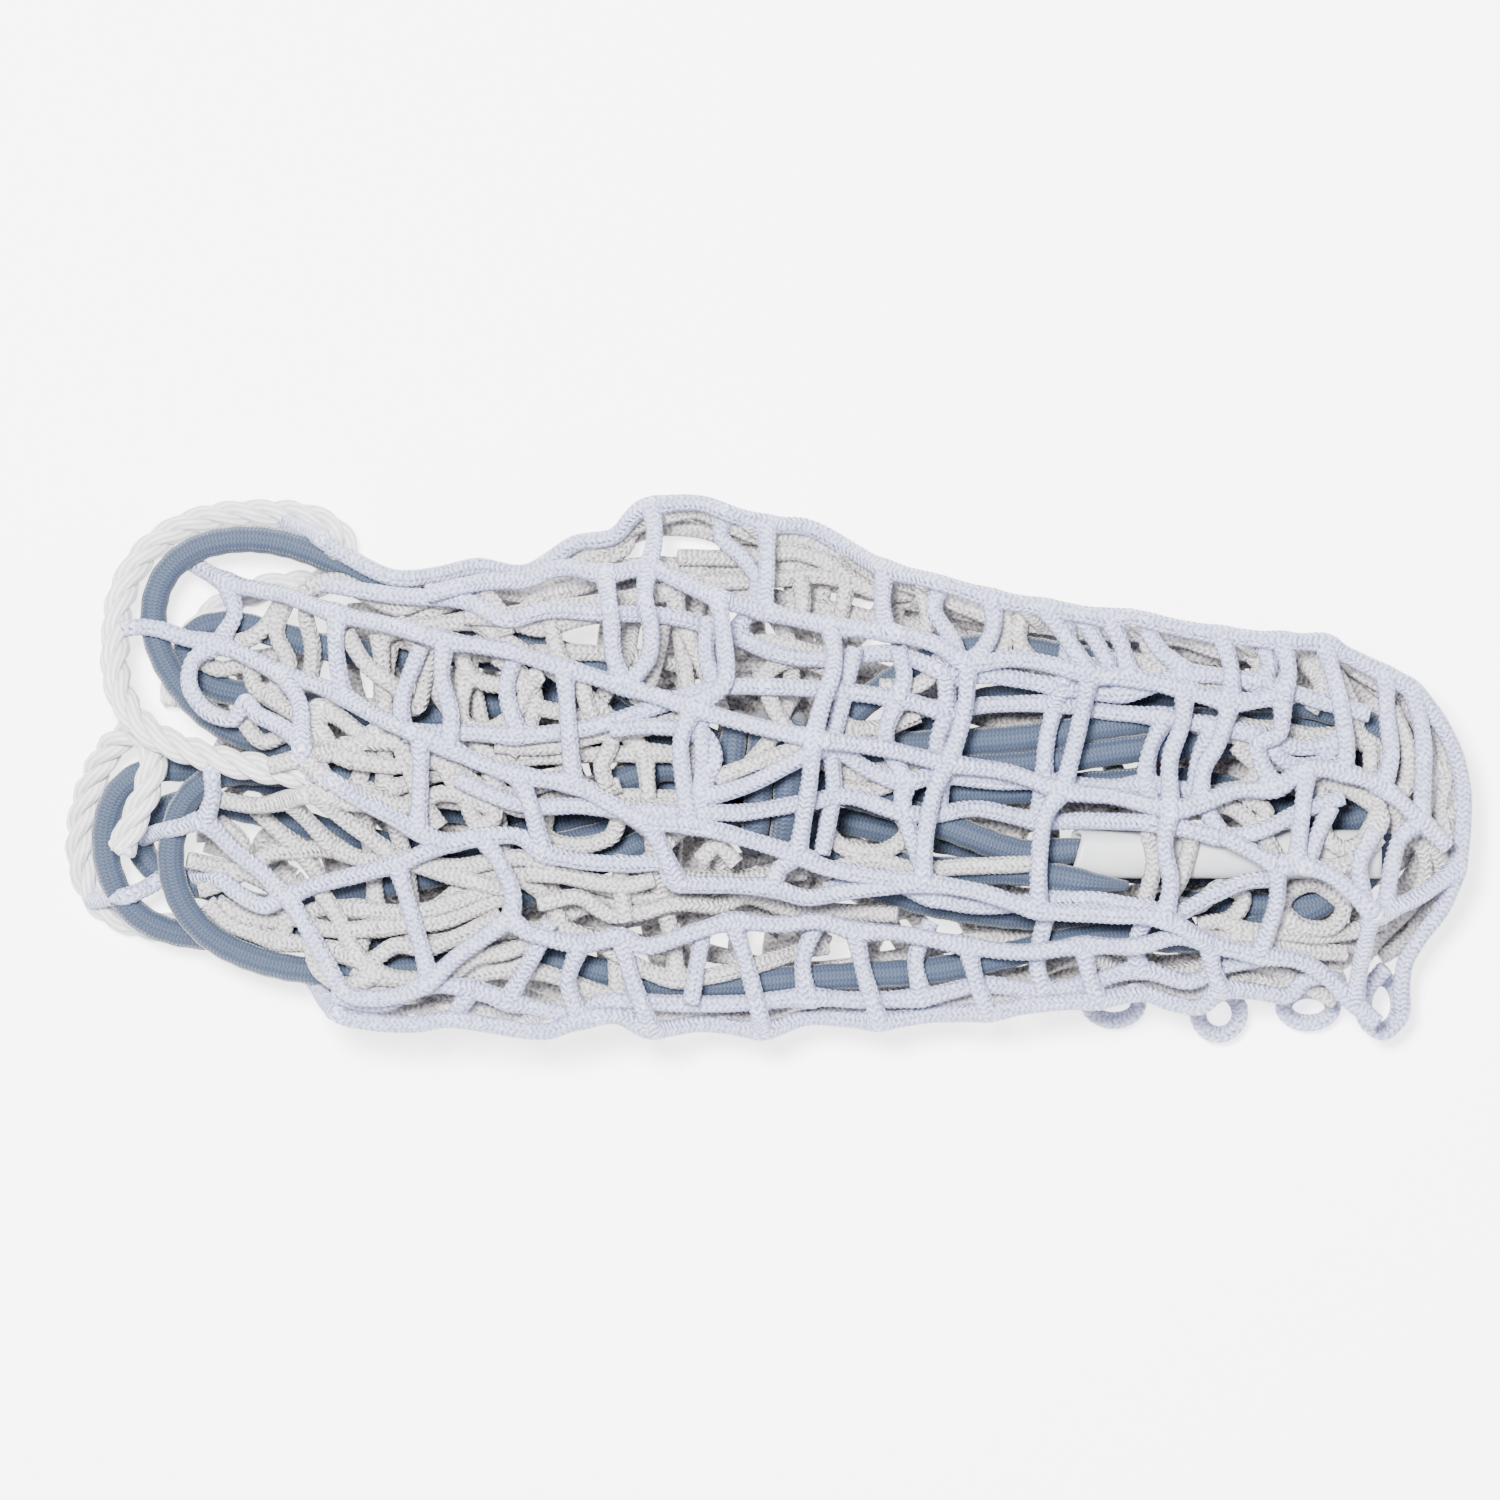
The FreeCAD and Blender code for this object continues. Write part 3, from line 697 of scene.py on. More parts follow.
SHORT_STRANDS = [
    [(-37, 87), (-36, 76), (-38, 66)],
    [(-38, 66), (-39, 57), (-37, 46), (-38, 36), (-45, 27)],
    [(1, 81), (1, 66), (0, 52)],
    [(40, 66), (39, 55), (40, 45)],
    [(75, 56), (75, 46), (71, 38), (67, 35)],
    [(92, 53), (99, 43), (107, 31)],
    [(113, 49.5), (117, 41), (120, 30)],
    [(150, 44), (153, 33), (153, 22)],
    [(153, 22), (149, 9), (144, 0), (143, -11)],
    [(170, 42), (172, 32), (170, 24)],
    [(170, 24), (169, 12), (162, 8), (164, 0), (168, -6)],
    [(184, 41.5), (188, 26), (191, 8), (190, -1)],
    [(205, 31), (205, 18), (206, 4), (203, -6)],
    [(214, 26), (217, 12), (217, -2), (216, -17)],
    [(-52, 64), (-50, 50), (-49, 37), (-45, 27)],
    [(-15, 56), (-13, 42), (-13, 28), (-23, 20)],
    [(22, 47), (23, 34), (19, 21), (16, 10)],
    [(67, 35), (66, 21), (63, 9), (60, 2)],
    [(107, 31), (104, 17), (101, 4), (98, -7)],
    [(138, 26), (137, 15), (133, 3), (133, -13)],
    [(-178, 62), (-175, 52), (-178, 45), (-180, 41)],
    [(-140, 51), (-140, 38), (-138, 24)],
    [(-104, 42), (-105, 30), (-102, 18), (-103, 7)],
    [(-65, 33), (-64, 19), (-63, 6), (-62, -5)],
    [(-23, 20), (-27, 9), (-26, -5), (-24, -18)],
    [(16, 10), (15, -3), (13, -16), (11, -28)],
    [(60, 2), (56, -7), (53, -21), (52, -37)],
    [(98, -7), (92, -16), (90, -31), (90, -46)],
    [(133, -13), (131, -25), (133, -37), (131, -49)],
    [(178, 0), (176, -14), (174, -31)],
    [(-180, 41), (-188, 36), (-189, 27), (-183, 19), (-174, 16.5), (-170, 22), (-166, 18),
     (-158, 14), (-151, 9)],
    [(-158, 31), (-152, 21), (-151, 9), (-150, -1)],
    [(-112, 11), (-112, -2), (-113, -20)],
    [(-80, -2), (-76, -12), (-72, -27)],
    [(-38, -17), (-34, -24), (-28, -37)],
    [(11, -28), (5, -33), (3, -39)],
    [(-181, 2), (-181, -2), (-181, -9), (-184, -17.5)],
    [(-224, -44), (-218, -43), (-211, -42), (-204, -39), (-198, -35)],
    [(-190, -36), (-180, -36.5), (-172, -42), (-164, -45), (-157, -41)],
    [(-120, -31), (-116, -45), (-112, -58), (-109, -69)],
    [(-92, -22), (-86, -31), (-82, -41), (-83, -50)],
    [(-60, -57), (-64, -70), (-60, -82)],
    [(-47, -55), (-43, -69), (-37, -85.5)],
    [(-10, -50), (-5, -66), (0, -86)],
    [(30, -53), (33, -67), (38, -83)],
    [(67, -58), (70, -70), (74, -80)],
    [(105, -58), (107, -68), (110, -76)],
    [(146, -57), (148, -66), (151, -73)],
    [(168, -31), (168, -44), (163, -61)],
    [(150, -22), (158, -26), (168, -31), (174, -31), (184, -34), (192, -40), (199, -47)],
    [(216, -17), (209, -23), (206, -33), (203, -47), (199, -47)],
    [(199, -47), (197, -60), (195, -77)],
    [(229, -33), (217, -41), (203, -47)],
]

# Where its strands go in under a bend or a rope, and how high they are there
TUCKED = {
    (-191, 69): 14, (-213, 46.5): 25, (-160, 83): 10, (-206, -23): 22, (-181, 2): 45,
    (-150, -1): 53, (-224, -44): 9, (-198, -35): 19, (-190, -36): 19, (-151, -68): 20,
}

# The fold beneath it, laid a little to one side of the first
SECOND_FOLD = [
    [(-145, 61), (-122, 57), (-98, 55), (-84, 49), (-70, 52), (-52, 51), (-30, 50), (-10, 44),
     (4, 38), (20, 36), (42, 38), (60, 32), (80, 30), (98, 27), (118, 25), (140, 31),
     (163, 28), (184, 22), (199, 18)],
    [(-118, 12), (-98, 12), (-80, 11), (-60, 13), (-42, 18), (-22, 25), (-8, 27), (20, 26),
     (44, 23), (60, 19), (72, 21), (96, 21.5), (112, 19), (132, 17), (148, 14), (163, 11),
     (176, 7), (190, 9)],
    [(-50, 13), (-36, 14), (-22, 12), (-16, 4), (-20, -8), (-5, -5), (9, 2), (22, 7),
     (34, 0), (46, -4), (58, -2), (76, -4), (92, -4), (112, -6), (126, -5), (143, -8)],
    [(-40, -14), (-22, -14), (-6, -14), (13, -11), (28, -9), (44, -14), (56, -15), (70, -13),
     (90, -17), (108, -17), (130, -18), (150, -22), (163, -20), (176, -14), (190, -9)],
    [(20, -40), (38, -36), (55, -42), (72, -45), (94, -43), (110, -43), (126, -46),
     (134, -48), (146, -42), (158, -37), (168, -36)],
    [(-142, -74), (-126, -77), (-111, -71), (-96, -72), (-84, -76), (-72, -79), (-62, -80),
     (-50, -76), (-30, -77), (-8, -77), (14, -75), (32, -76), (52, -75), (72, -71),
     (92, -73), (108, -70), (124, -66), (140, -70), (152, -65), (165, -62)],
    [(-12, 87), (-14, 77), (-7, 70), (-2, 62), (-4, 54), (-10, 44)],
    [(58, 60), (56, 52), (62, 42), (66, 30)],
    [(96, 52), (100, 44), (98, 27)],
    [(104, 50), (110, 40), (118, 25)],
    [(124, 49), (130, 39), (140, 31)],
    [(163, 43), (166, 34), (163, 28)],
    [(-18, 50), (-19, 38), (-17, 27), (-22, 12)],
    [(44, 40), (46, 31), (44, 23), (40, 10), (46, -4), (46, -14), (55, -42)],
    [(30, 40), (27, 27), (24, 15), (22, 7), (23, -6), (21, -18), (19, -28)],
    [(60, 32), (60, 19), (57, 8), (58, -2), (58, -15)],
    [(98, 27), (96, 21.5), (93, 9), (92, -4), (90, -17)],
    [(132, 17), (127, 6), (126, -5), (130, -18)],
    [(148, 14), (143, 4), (143, -8), (150, -22)],
    [(163, 11), (172, 2), (183, 2), (190, 9)],
    [(-20, 12), (-20, 0), (-20, -8), (-22, -18)],
    [(-112, 40), (-118, 24), (-118, 12)],
    [(-80, 40), (-84, 26), (-80, 11)],
    [(-100, -3), (-90, -8), (-76, -12), (-60, -12), (-40, -14)],
    [(-96, -72), (-101, -80), (-102, -82)],
    [(-84, -76), (-76, -62), (-70, -50)],
    [(14, -75), (13, -62), (18, -50)],
    [(-24, -77), (-22, -65), (-20, -53)],
    [(52, -75), (50, -62), (55, -50)],
    [(92, -73), (90, -62), (94, -43)],
    [(124, -66), (122, -58), (126, -46)],
    [(200, -20), (195, -31), (197, -44)],
    [(186, -12), (182, -20), (178, -31)],
]

# The fold under that one, which fills most of what the two above leave open
THIRD_FOLD = [
    [(-150, 60), (-140, 62), (-130, 57), (-120, 53), (-110, 56), (-98, 60), (-88, 54), (-84, 44)],
    [(-137, 45), (-131, 35), (-121, 27), (-114, 20), (-111, 31), (-110, 45)],
    [(-100, 40), (-97, 32), (-90, 28), (-80, 28), (-74, 31), (-78, 24), (-82, 18), (-90, 13),
     (-98, 15), (-99, 23), (-97, 32)],
    [(-88, 37), (-79, 31), (-75, 23), (-77, 14), (-83, 5)],
    [(-60, 30), (-58, 22), (-55, 15), (-50, 9), (-53, 1), (-51, -6)],
    [(-73, 20), (-60, 17), (-45, 13), (-33, 15), (-22, 18)],
    [(-88, 8), (-76, 7), (-66, 8), (-56, 11), (-47, 12)],
    [(-134, 3), (-121, 1), (-110, 3), (-100, -1), (-91, -7), (-80, -13), (-68, -12), (-55, -12),
     (-44, -15), (-32, -12), (-18, -15)],
    [(-141, -5), (-127, -10), (-116, -12), (-106, -8), (-95, -10), (-88, -15), (-95, -21)],
    [(-119, 9), (-116, 0), (-112, -10), (-106, -19)],
    [(-105, 1), (-98, -10), (-93, -21)],
    [(-90, -1), (-85, -8), (-76, -6), (-64, -3), (-55, -7), (-47, -5)],
    [(-75, -16), (-70, -23), (-60, -25), (-50, -22), (-46, -15), (-36, -21), (-30, -26)],
    [(-116, -30), (-101, -32), (-88, -30), (-78, -29), (-68, -32)],
    [(-121, -29), (-106, -34), (-94, -37), (-82, -40)],
    [(-146, -40), (-140, -49), (-135, -59), (-127, -67), (-115, -69), (-104, -68), (-95, -62),
     (-85, -60), (-76, -57)],
    [(-134, -46), (-115, -47), (-100, -43), (-86, -38)],
    [(-126, -52), (-106, -50), (-95, -46), (-85, -42)],
    [(-110, -59), (-98, -54), (-86, -48)],
    [(-140, -60), (-130, -63), (-121, -58), (-112, -59)],
    [(-78, -34), (-65, -35), (-55, -37), (-45, -38), (-36, -36)],
    [(-74, -44), (-61, -42), (-50, -48), (-40, -47), (-28, -44), (-15, -45), (-5, -42), (8, -46),
     (25, -47), (44, -48)],
    [(-46, -28), (-47, -38), (-45, -50)],
    [(-21, -30), (-15, -25), (-9, -31)],
    [(-98, 50), (-85, 49), (-73, 46), (-62, 49), (-50, 50), (-50, 40), (-47, 30)],
    [(-33, 50), (-35, 38), (-38, 28), (-42, 21)],
    [(-27, 50), (-23, 40), (-18, 30), (-14, 19)],
    [(-75, 56), (-70, 48), (-68, 40), (-65, 32)],
    [(-12, 39), (0, 42), (10, 40), (21, 38), (25, 44)],
    [(-2, 29), (4, 34), (12, 36), (21, 33)],
    [(38, 27), (49, 27), (55, 31), (58, 37)],
    [(20, 24), (28, 14), (40, 14), (50, 19), (58, 20)],
    [(1, 25), (5, 17), (11, 11), (25, 12), (38, 13), (51, 18)],
    [(18, 3), (30, -2), (42, 0), (54, -2)],
    [(24, -6), (35, -7), (48, -2)],
    [(-16, -3), (0, 3), (12, 7)],
    [(22, -12), (21, -20), (27, -26), (39, -27), (47, -21), (44, -13)],
    [(20, -34), (35, -30), (50, -33), (66, -32), (90, -31)],
    [(-30, -35), (-15, -36), (0, -35), (14, -34)],
    [(-66, 74), (-56, 70), (-47, 73), (-44, 80)],
    [(-28, 70), (-15, 70), (-4, 70), (8, 72), (20, 69), (30, 62), (40, 58), (52, 58), (62, 53),
     (74, 50)],
    [(28, 62), (26, 52), (25, 45)],
    [(12, 64), (13, 54), (11, 47)],
    [(-20, 62), (-8, 62), (6, 63), (18, 64), (29, 62)],
    [(52, 60), (54, 50), (52, 42)],
    [(78, 54), (80, 43), (74, 34)],
    [(85, 51), (84, 42), (90, 33)],
    [(66, 36), (80, 37), (95, 33), (108, 34), (120, 36), (130, 32), (142, 28), (151, 27),
     (159, 29), (166, 34), (172, 40)],
    [(125, 46), (128, 37), (136, 30)],
    [(137, 46), (141, 39), (152, 37), (160, 42), (171, 38), (179, 34), (184, 27), (180, 19)],
    [(157, 44), (162, 36), (169, 30), (173, 21)],
    [(173, 41), (180, 36), (188, 32), (193, 22), (196, 12), (201, 7)],
    [(150, 17), (160, 14), (170, 13), (180, 11), (190, 11), (201, 7), (207, 0)],
    [(135, 19), (145, 13), (155, 11), (163, 6), (170, 2), (181, -2)],
    [(155, 8), (162, 0), (158, -8), (165, -14), (160, -21)],
    [(148, -8), (160, -6), (170, -5), (180, -4), (190, -6), (198, -10), (203, -16), (198, -23),
     (190, -26), (184, -21), (184, -11), (180, -4)],
    [(140, -13), (149, -12), (156, -14), (164, -22), (169, -30)],
    [(200, -4), (207, -12), (209, -21)],
    [(174, -30), (185, -32), (194, -30), (202, -22)],
    [(108, -62), (118, -66), (131, -68), (145, -66), (160, -62), (172, -61)],
    [(128, -71), (140, -72), (150, -68), (161, -65), (171, -67), (181, -72), (190, -77)],
    [(150, -50), (160, -53), (172, -54), (185, -55), (197, -53), (206, -50)],
    [(140, -56), (155, -56), (166, -57), (180, -60), (193, -61)],
    [(126, -20), (128, -31), (125, -44)],
    [(135, -19), (140, -23), (137, -35), (134, -43), (143, -45), (150, -39), (158, -42),
     (154, -49), (143, -51)],
    [(170, -48), (178, -52), (187, -52), (191, -45), (182, -38), (173, -41), (170, -48)],
    [(196, 33), (206, 25), (213, 20), (219, 11), (220, -1), (219, -12), (217, -18), (222, -26),
     (225, -36), (221, -47), (214, -56), (206, -62)],
    [(222, 15), (226, 0), (224, -14), (228, -28), (225, -42), (218, -54)],
    [(211, -21), (217, -25), (219, -33), (216, -43), (209, -51), (203, -57), (198, -64)],
    [(207, 20), (212, 8), (212, -4), (206, -12)],
    [(200, 8), (200, -2), (202, -12), (198, -23)],
    [(222, -26), (228, -28)],
    [(-158, 57), (-161, 45), (-157, 34), (-163, 24)],
    [(-150, 60), (-151, 50), (-149, 40), (-150, 29)],
    [(-190, 43), (-175, 42), (-166, 46), (-158, 57)],
    [(-187, 36), (-180, 33), (-171, 34), (-168, 27), (-163, 24), (-152, 17), (-146, 20),
     (-138, 16), (-130, 10), (-119, 9)],
    [(-172, 17), (-165, 9), (-156, 12), (-147, 13), (-141, 6), (-134, 3)],
    [(-146, 20), (-147, 13), (-150, 4), (-141, -5)],
    [(-162, 1), (-150, 4), (-141, 6), (-130, 10), (-123, 18)],
    [(-179, -10), (-167, -12), (-156, -10), (-146, -8), (-135, -11), (-127, -10)],
    [(-181, -17), (-173, -24), (-171, -33), (-161, -39)],
    [(-170, -11), (-161, -20), (-153, -27), (-147, -36)],
    [(-156, -10), (-149, -18), (-141, -26), (-130, -30), (-121, -29)],
    [(-146, -8), (-139, -15), (-131, -21), (-121, -29)],
    [(-190, -30), (-181, -32), (-171, -33), (-163, -28), (-153, -27), (-141, -26)],
    [(-184, -44), (-177, -51), (-168, -54.5), (-160, -57), (-149, -58), (-140, -60)],
    [(-181, -44), (-171, -49), (-157, -50), (-146, -46), (-134, -46)],
    [(-161, -39), (-158, -50), (-160, -57)],
    [(-152, -51), (-140, -53), (-126, -52)],
    [(-149, -57), (-146, -66), (-137, -71), (-127, -67)],
    [(-187, -40), (-180, -38), (-171, -33)],
    [(226, 0), (220, -1), (212, -4)],
]

# The selvage loops along the front edge, as (x, y, half width, half height)
EDGE_LOOPS = [(117, -78.5, 8.2, 5.6), (152, -81.5, 7.0, 7.2), (182, -79.5, 8.2, 5.4),
              (206, -78.5, 6.0, 8.6)]


class Pile:
    """How high the bundle reaches so far, on a grid of one-millimetre cells."""

    def __init__(self):
        self.half_x, self.half_y = 250, 110
        self.height = np.zeros((2 * self.half_x, 2 * self.half_y))

    def cells(self, x, y):
        column = np.clip(np.round(x).astype(int) + self.half_x, 4, 2 * self.half_x - 5)
        row = np.clip(np.round(y).astype(int) + self.half_y, 4, 2 * self.half_y - 5)
        return column, row

    def footprint(self, radius):
        """The cells under a cord of this radius, and how much higher its middle is over each."""
        reach = int(radius)
        for dx in range(-reach, reach + 1):
            for dy in range(-reach, reach + 1):
                if dx * dx + dy * dy < radius * radius:
                    yield dx, dy, math.sqrt(radius * radius - dx * dx - dy * dy)

    def rest(self, x, y, radius):
        """The lowest that a cord's middle can lie at each point."""
        column, row = self.cells(x, y)
        lowest = np.full(len(x), radius)
        for dx, dy, dome in self.footprint(radius):
            lowest = np.maximum(lowest, self.height[column + dx, row + dy] + dome)
        return lowest

    def add(self, x, y, z, radius):
        """Lays a cord on the pile."""
        column, row = self.cells(x, y)
        for dx, dy, dome in self.footprint(radius):
            np.maximum.at(self.height, (column + dx, row + dy), z + dome)


class Fold:
    """One fold of the net: strands that meet in shared knots, laid over what is below."""

    def __init__(self, strands):
        self.points = []
        self.lines = []
        self.knots = {}
        uses = {}
        for strand in strands:
            line = []
            for given, span in zip(strand, smooth_spans(strand, 3.0)):
                line.append(self.knot(given))
                line.extend(self.new_point(p) for p in span[1:])
            line.append(self.knot(strand[-1]))
            self.lines.append(line)
            for given in strand:
                uses[given] = uses.get(given, 0) + 1
        self.joined = {self.knots[given] for given, count in uses.items() if count > 1}
        self.points = np.array(self.points, float)
        self.z = None

    def new_point(self, place):
        self.points.append(tuple(place))
        return len(self.points) - 1

    def knot(self, given):
        if given not in self.knots:
            self.knots[given] = self.new_point(given)
        return self.knots[given]

    def settle(self, pile, sag, ceiling, tucked=(), rounds=160):
        """Lets the fold down on the pile: each strand bridges the gaps that it can span."""
        x, y = self.points.T
        floor = pile.rest(x, y, NET_CORD_RADIUS)
        held = {self.knots[given]: tucked[given] for given in tucked}
        for knot, height in held.items():
            reach = np.hypot(x - x[knot], y - y[knot])
            floor = np.where(reach < 14, np.minimum(floor, height + 1.2 * reach), floor)
        first = np.concatenate([line[:-1] for line in self.lines])
        second = np.concatenate([line[1:] for line in self.lines])
        arms = np.bincount(first, minlength=len(x)) + np.bincount(second, minlength=len(x))
        z = floor.copy()
        for _ in range(rounds):
            total = np.bincount(first, z[second], len(x)) + np.bincount(second, z[first], len(x))
            z = np.maximum(floor, z + 0.6 * (total / arms - z) - sag)
            z = np.minimum(z, ceiling)
            z[list(held)] = list(held.values())
        self.z = z
        pile.add(x, y, z, NET_CORD_RADIUS)

    def weave_into(self, weave, lines, step, sides, fine):
        """Makes the strands' knitted cords."""
        for line in lines:
            places = np.column_stack([self.points[line], self.z[line]])
            path = smooth_line(places[::2] if len(line) > 8 and not fine else places, step)
            along = np.linalg.norm(np.diff(path, axis=0), axis=1).cumsum()
            along = np.concatenate([[0], along])
            centres = [
                along[np.argmin(((path - self.place(k)) ** 2).sum(axis=1))]
                for k in line if k in self.joined
            ]
            weave.cord(path * MM, sides, knitted_radius(np.array(centres) * MM, fine))

    def place(self, index):
        return np.array([*self.points[index], self.z[index]])


def knitted_radius(knots, fine):
    """The cord's stitches, and how it thickens where strands are knitted together."""
    stitch = STITCH * MM
    depth = 0.06 if fine else 0.04

    def radius(along, angle):
        wale = angle / TURN * WALES
        offset = np.round(wale) % 2 * 0.5
        loop = np.cos(TURN * (along / stitch + offset)) * (0.35 + 0.65 * np.cos(TURN * wale))
        slack = np.sin(along * 310 + 1.3) * np.sin(along * 117)
        swell = sum((np.exp(-(((along - knot) / 0.005) ** 2)) for knot in knots), 0)
        return NET_CORD_RADIUS * MM * (1 + depth * loop + 0.04 * slack + 0.24 * swell)

    return radius


def hidden_fold(rng, x0, x1, rows, slant, wander, inset=4):
    """A fold that no one sees whole: rows along the bundle and short strands between them."""
    pitch = 36
    columns = int((x1 - x0) / pitch) + 1
    grid = []
    for k in range(rows):
        share = k / (rows - 1)
        x = x0 + pitch * np.arange(columns) + slant * (share - 0.5) * pitch
        x = np.clip(x + rng.normal(0, wander, columns), x0 - 6, 226)
        rear = np.interp(x, *zip(*REAR_EDGE)) - inset
        front = np.interp(x, *zip(*FRONT_EDGE)) + inset
        y = front + (rear - front) * share + rng.normal(0, wander, columns)
        y = np.clip(y, front, rear)
        grid.append([(round(float(a), 1), round(float(b), 1)) for a, b in zip(x, y)])
    strands = list(grid)
    for lower, upper in zip(grid, grid[1:]):
        for (ax, ay), (bx, by) in zip(lower, upper):
            bow = rng.normal(0, 3)
            middle = (round((ax + bx) / 2 + bow, 1), round((ay + by) / 2, 1))
            strands.append([(ax, ay), middle, (bx, by)])
    return Fold(strands)


def side_strands(rng, fold, row):
    """The net's sides: strands that hang from an edge row of the top fold, down to the lowest."""
    index = fold.lines[row]
    edge = even_line(np.column_stack([fold.points[index], fold.z[index]]), 6.0)
    edge = edge[edge[:, 2] > 22]
    centre = np.column_stack([np.clip(edge[:, 0], -120, 185), np.full(len(edge), -8.0)])
    inward = centre - edge[:, :2]
    inward /= np.linalg.norm(inward, axis=1)[:, None]
    levels = []
    for share, tuck in ((0.0, 0.5), (0.36, 3.5), (0.70, 5.0), (1.0, 7.0)):
        sway = np.convolve(rng.normal(0, 3.0, len(edge) + 4), np.ones(5) / 5, "valid")
        plan = edge[:, :2] + inward * (tuck + sway * (share > 0))[:, None]
        drop = edge[:, 2] + (9.0 - edge[:, 2]) * share + sway * 1.2 * (share > 0)
        levels.append(np.column_stack([plan, drop]))
    lines = [smooth_line(level[::2], 1.1) for level in levels[1:]]
    for k in range(3, len(edge) - 2, 6):
        lean = (0, 1, 0, -1)
        column = [level[k + step] for level, step in zip(levels, lean)]
        lines.append(smooth_line(column, 1.1))
    return lines


def lay_line(pile, line, radius):
    """Puts a cord's finished line on the pile, in millimetres."""
    x, y, z = (np.asarray(line) / MM).T
    pile.add(x, y, z, radius)


def declare_net(piece, nodes):
    """Attaches a net piece to the root and hides the parts that it stands in for."""
    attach(piece, "root")
    if nodes:
        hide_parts(*nodes)


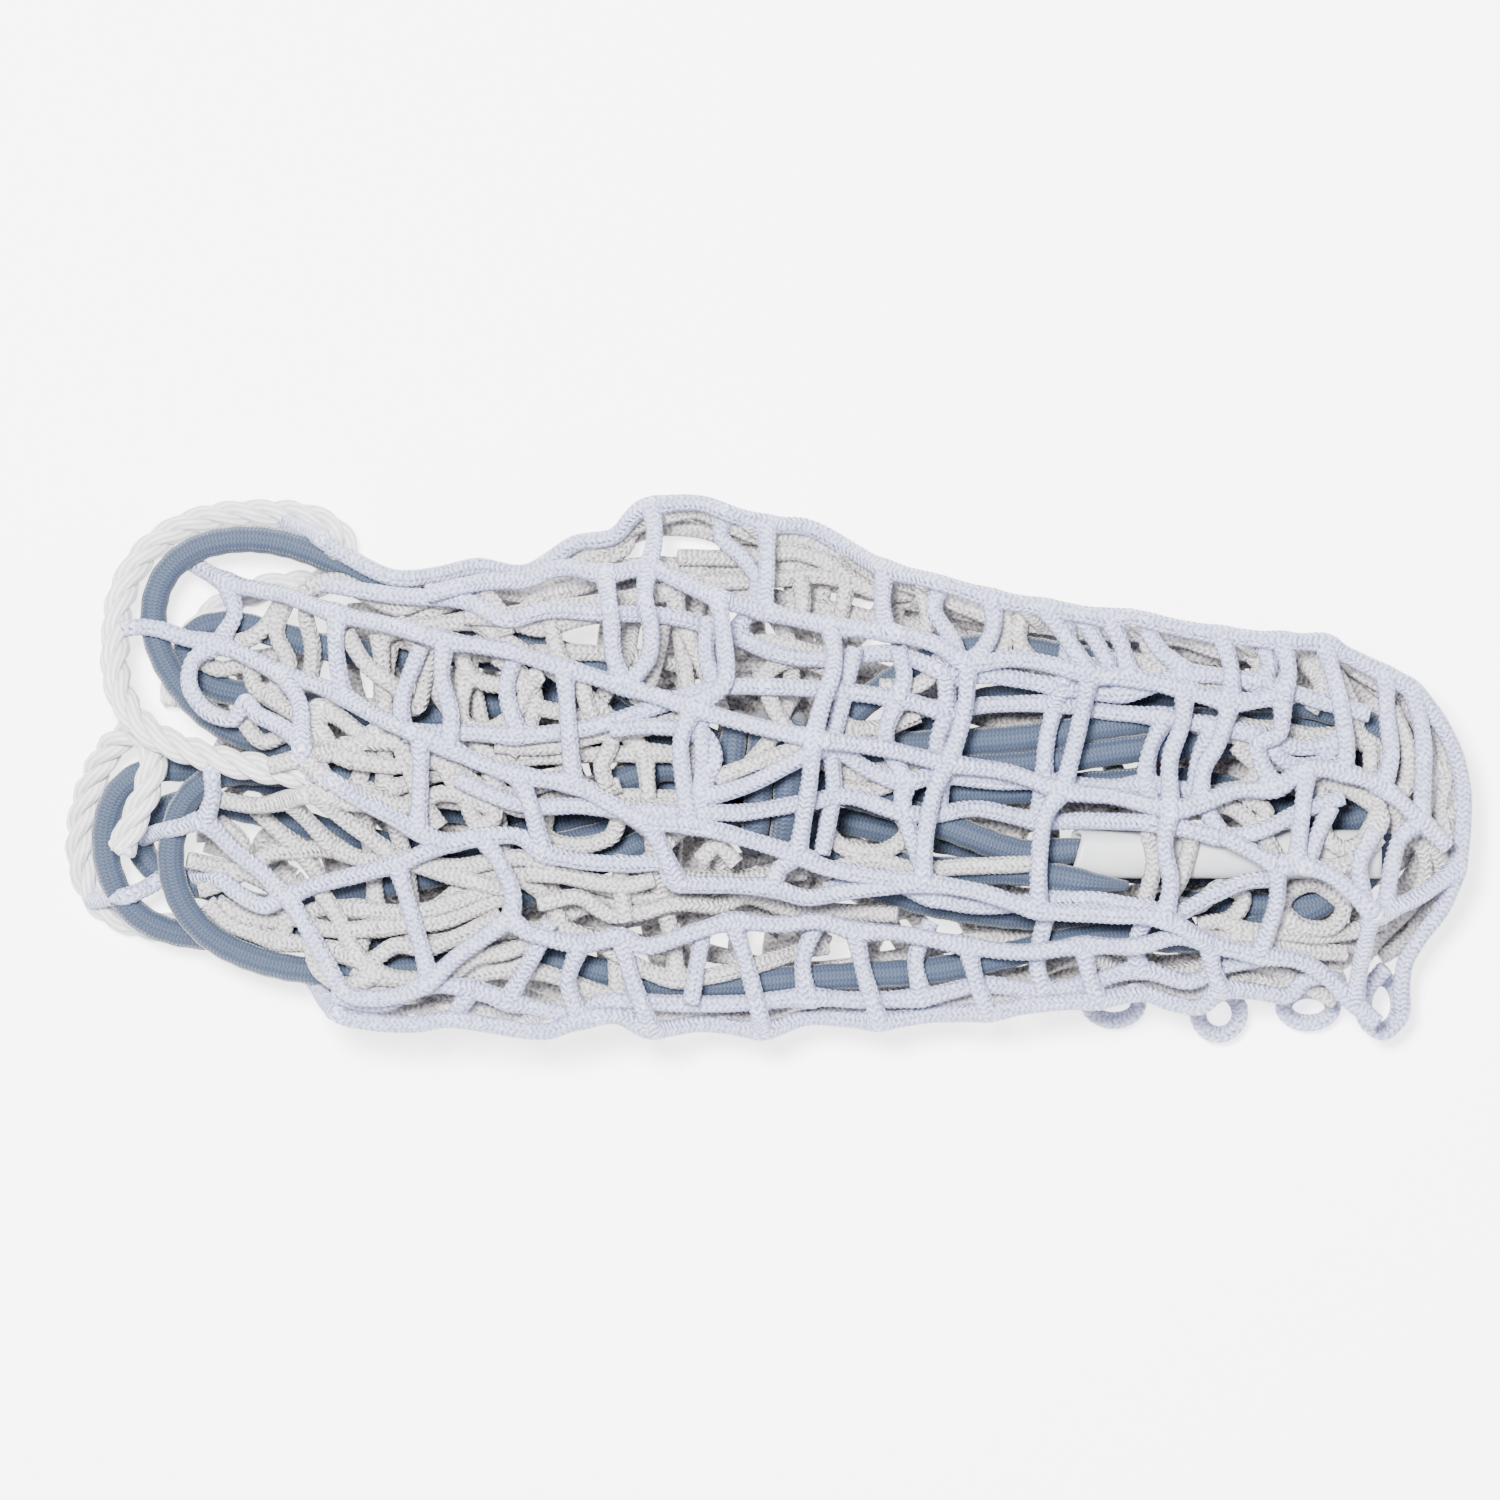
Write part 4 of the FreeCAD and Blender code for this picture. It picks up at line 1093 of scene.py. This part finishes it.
def make_net():
    """Lays the net's folds one on the other, with the cords between them, and knits each."""
    rng = np.random.default_rng(7)
    pile = Pile()
    under = [
        hidden_fold(rng, -132, 214, 5, 0.4, 7), hidden_fold(rng, -176, 190, 5, -0.6, 7),
        hidden_fold(rng, -132, 214, 5, 0.9, 7), hidden_fold(rng, -180, -96, 4, 0.3, 9),
        hidden_fold(rng, -132, 214, 5, -0.2, 7), hidden_fold(rng, -130, 206, 4, 0.5, 9, 12),
    ]
    for fold in under:
        ceiling = np.interp(fold.points[:, 0], [-190, -145, -120], [8.5, 10.5, 17.5])
        fold.settle(pile, 0.02, ceiling)
    # three small folds fill the right end, and rise outside the elastic cord's bends
    end_rng = np.random.default_rng(11)
    for slant in (0.3, -0.5, 0.1):
        fold = hidden_fold(end_rng, 160, 232, 6, slant, 4, 2)
        fold.settle(pile, 0.02, np.interp(fold.points[:, 0], [205, 220], [17.5, 28]))
        under.append(fold)
    lay_line(pile, elastic_line, ELASTIC_DIAMETER / 2 / MM)
    lay_line(pile, rear_rope_line, ROPE_DIAMETER / 2 / MM)
    lay_line(pile, front_rope_line, ROPE_DIAMETER / 2 / MM)
    low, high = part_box("joining_sleeve")
    sleeve_x = np.arange(low[0], high[0], MM) / MM
    for offset in (-5, 0, 5):
        sleeve_y = np.full(len(sleeve_x), (low[1] + high[1]) / 2 / MM + offset)
        pile.add(sleeve_x, sleeve_y, np.full(len(sleeve_x), high[2] / MM - 3), 3)
    inner = [
        hidden_fold(rng, -128, -10, 5, 1.2, 10),
        hidden_fold(rng, -120, 10, 4, -1.4, 11, 14),
    ]
    for fold in inner:
        fold.settle(pile, 0.03, 62)
    third = Fold(THIRD_FOLD)
    third.settle(pile, 0.03, 63)
    second = Fold(SECOND_FOLD)
    second.settle(pile, 0.02, 65)
    rows = [ROW_REAR_EDGE, ROW_REAR, ROW_UPPER, ROW_LOWER, ROW_INNER_FRONT, ROW_BARE_LEFT,
            ROW_LEFT_FRONT, ROW_FRONT_EDGE]
    top = Fold(rows + SHORT_STRANDS)
    top.settle(pile, 0.01, 67, TUCKED)
    weaves = {"net_side_folds": Weave()}
    for row in (rows.index(ROW_REAR_EDGE), rows.index(ROW_FRONT_EDGE)):
        for line in side_strands(rng, top, row):
            weaves["net_side_folds"].cord(line * MM, 8, knitted_radius([], False))
    weaves["net_top_rows"] = Weave()
    top.weave_into(weaves["net_top_rows"], top.lines[: len(rows)], 0.6, 10, True)
    weaves["net_top_rungs"] = Weave()
    top.weave_into(weaves["net_top_rungs"], top.lines[len(rows):], 0.6, 10, True)
    weaves["net_second_fold"] = Weave()
    second.weave_into(weaves["net_second_fold"], second.lines, 0.7, 10, True)
    weaves["net_third_fold"] = Weave()
    third.weave_into(weaves["net_third_fold"], third.lines, 0.9, 10, True)
    weaves["net_inner_folds"] = Weave()
    for fold in inner:
        fold.weave_into(weaves["net_inner_folds"], fold.lines, 1.2, 10, False)
    weaves["net_under_folds"] = Weave()
    for fold in under:
        fold.weave_into(weaves["net_under_folds"], fold.lines, 1.3, 8, False)
    return weaves


weaves = make_net()
# The top and second folds take the netting with painted cool light, the folds beneath them the
# netting with painted warm shade
pieces = {
    name: weave.piece(name, NETTING_PAINTED_COOL_LIGHT if "top" in name or "second" in name else NETTING_PAINTED_WARM_SHADE)
    for name, weave in weaves.items()
}
declare_net(pieces["net_top_rows"], ["net_over_layers", "net_left_flap"])
declare_net(pieces["net_top_rungs"], [])
declare_net(
    pieces["net_side_folds"], ["net_front_fold", "net_rear_fold", "net_end_fold"])
declare_net(pieces["net_second_fold"], [])
declare_net(pieces["net_third_fold"], [])
declare_net(pieces["net_inner_folds"], [])
declare_net(pieces["net_under_folds"], ["net_under_layers"])


def make_edge_loops():
    """The loops of selvage cord that stand out along the front edge."""
    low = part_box("edge_loops")[0]
    weave = Weave()
    count = 40
    for k, (x, y, half_x, half_y) in enumerate(EDGE_LOOPS):
        angles = np.linspace(0, TURN, count)
        height = (low[2] / MM) + 3.2 + 1.5 * (k % 2)
        ring = np.column_stack(
            [x + half_x * np.cos(angles), y + half_y * np.sin(angles),
             height + 1.2 * np.sin(angles)])
        weave.cord(smooth_line(ring, 0.75) * MM, 12, knitted_radius([], True))
    piece = weave.piece("net_edge_loops", NETTING_PAINTED_COOL_LIGHT)
    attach(piece, "root")
    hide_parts("edge_loops")


make_edge_loops()


def make_floor():
    """A plain pale floor, well past the view on all sides."""
    mesh = bpy.data.meshes.new("floor")
    reach = 4.0
    mesh.from_pydata(
        [(-reach, -reach, 0), (reach, -reach, 0), (reach, reach, 0), (-reach, reach, 0)],
        [], [(0, 1, 2, 3)])
    mesh.materials.append(floor_finish())
    floor = bpy.data.objects.new("floor", mesh)
    bpy.context.scene.collection.objects.link(floor)


make_floor()
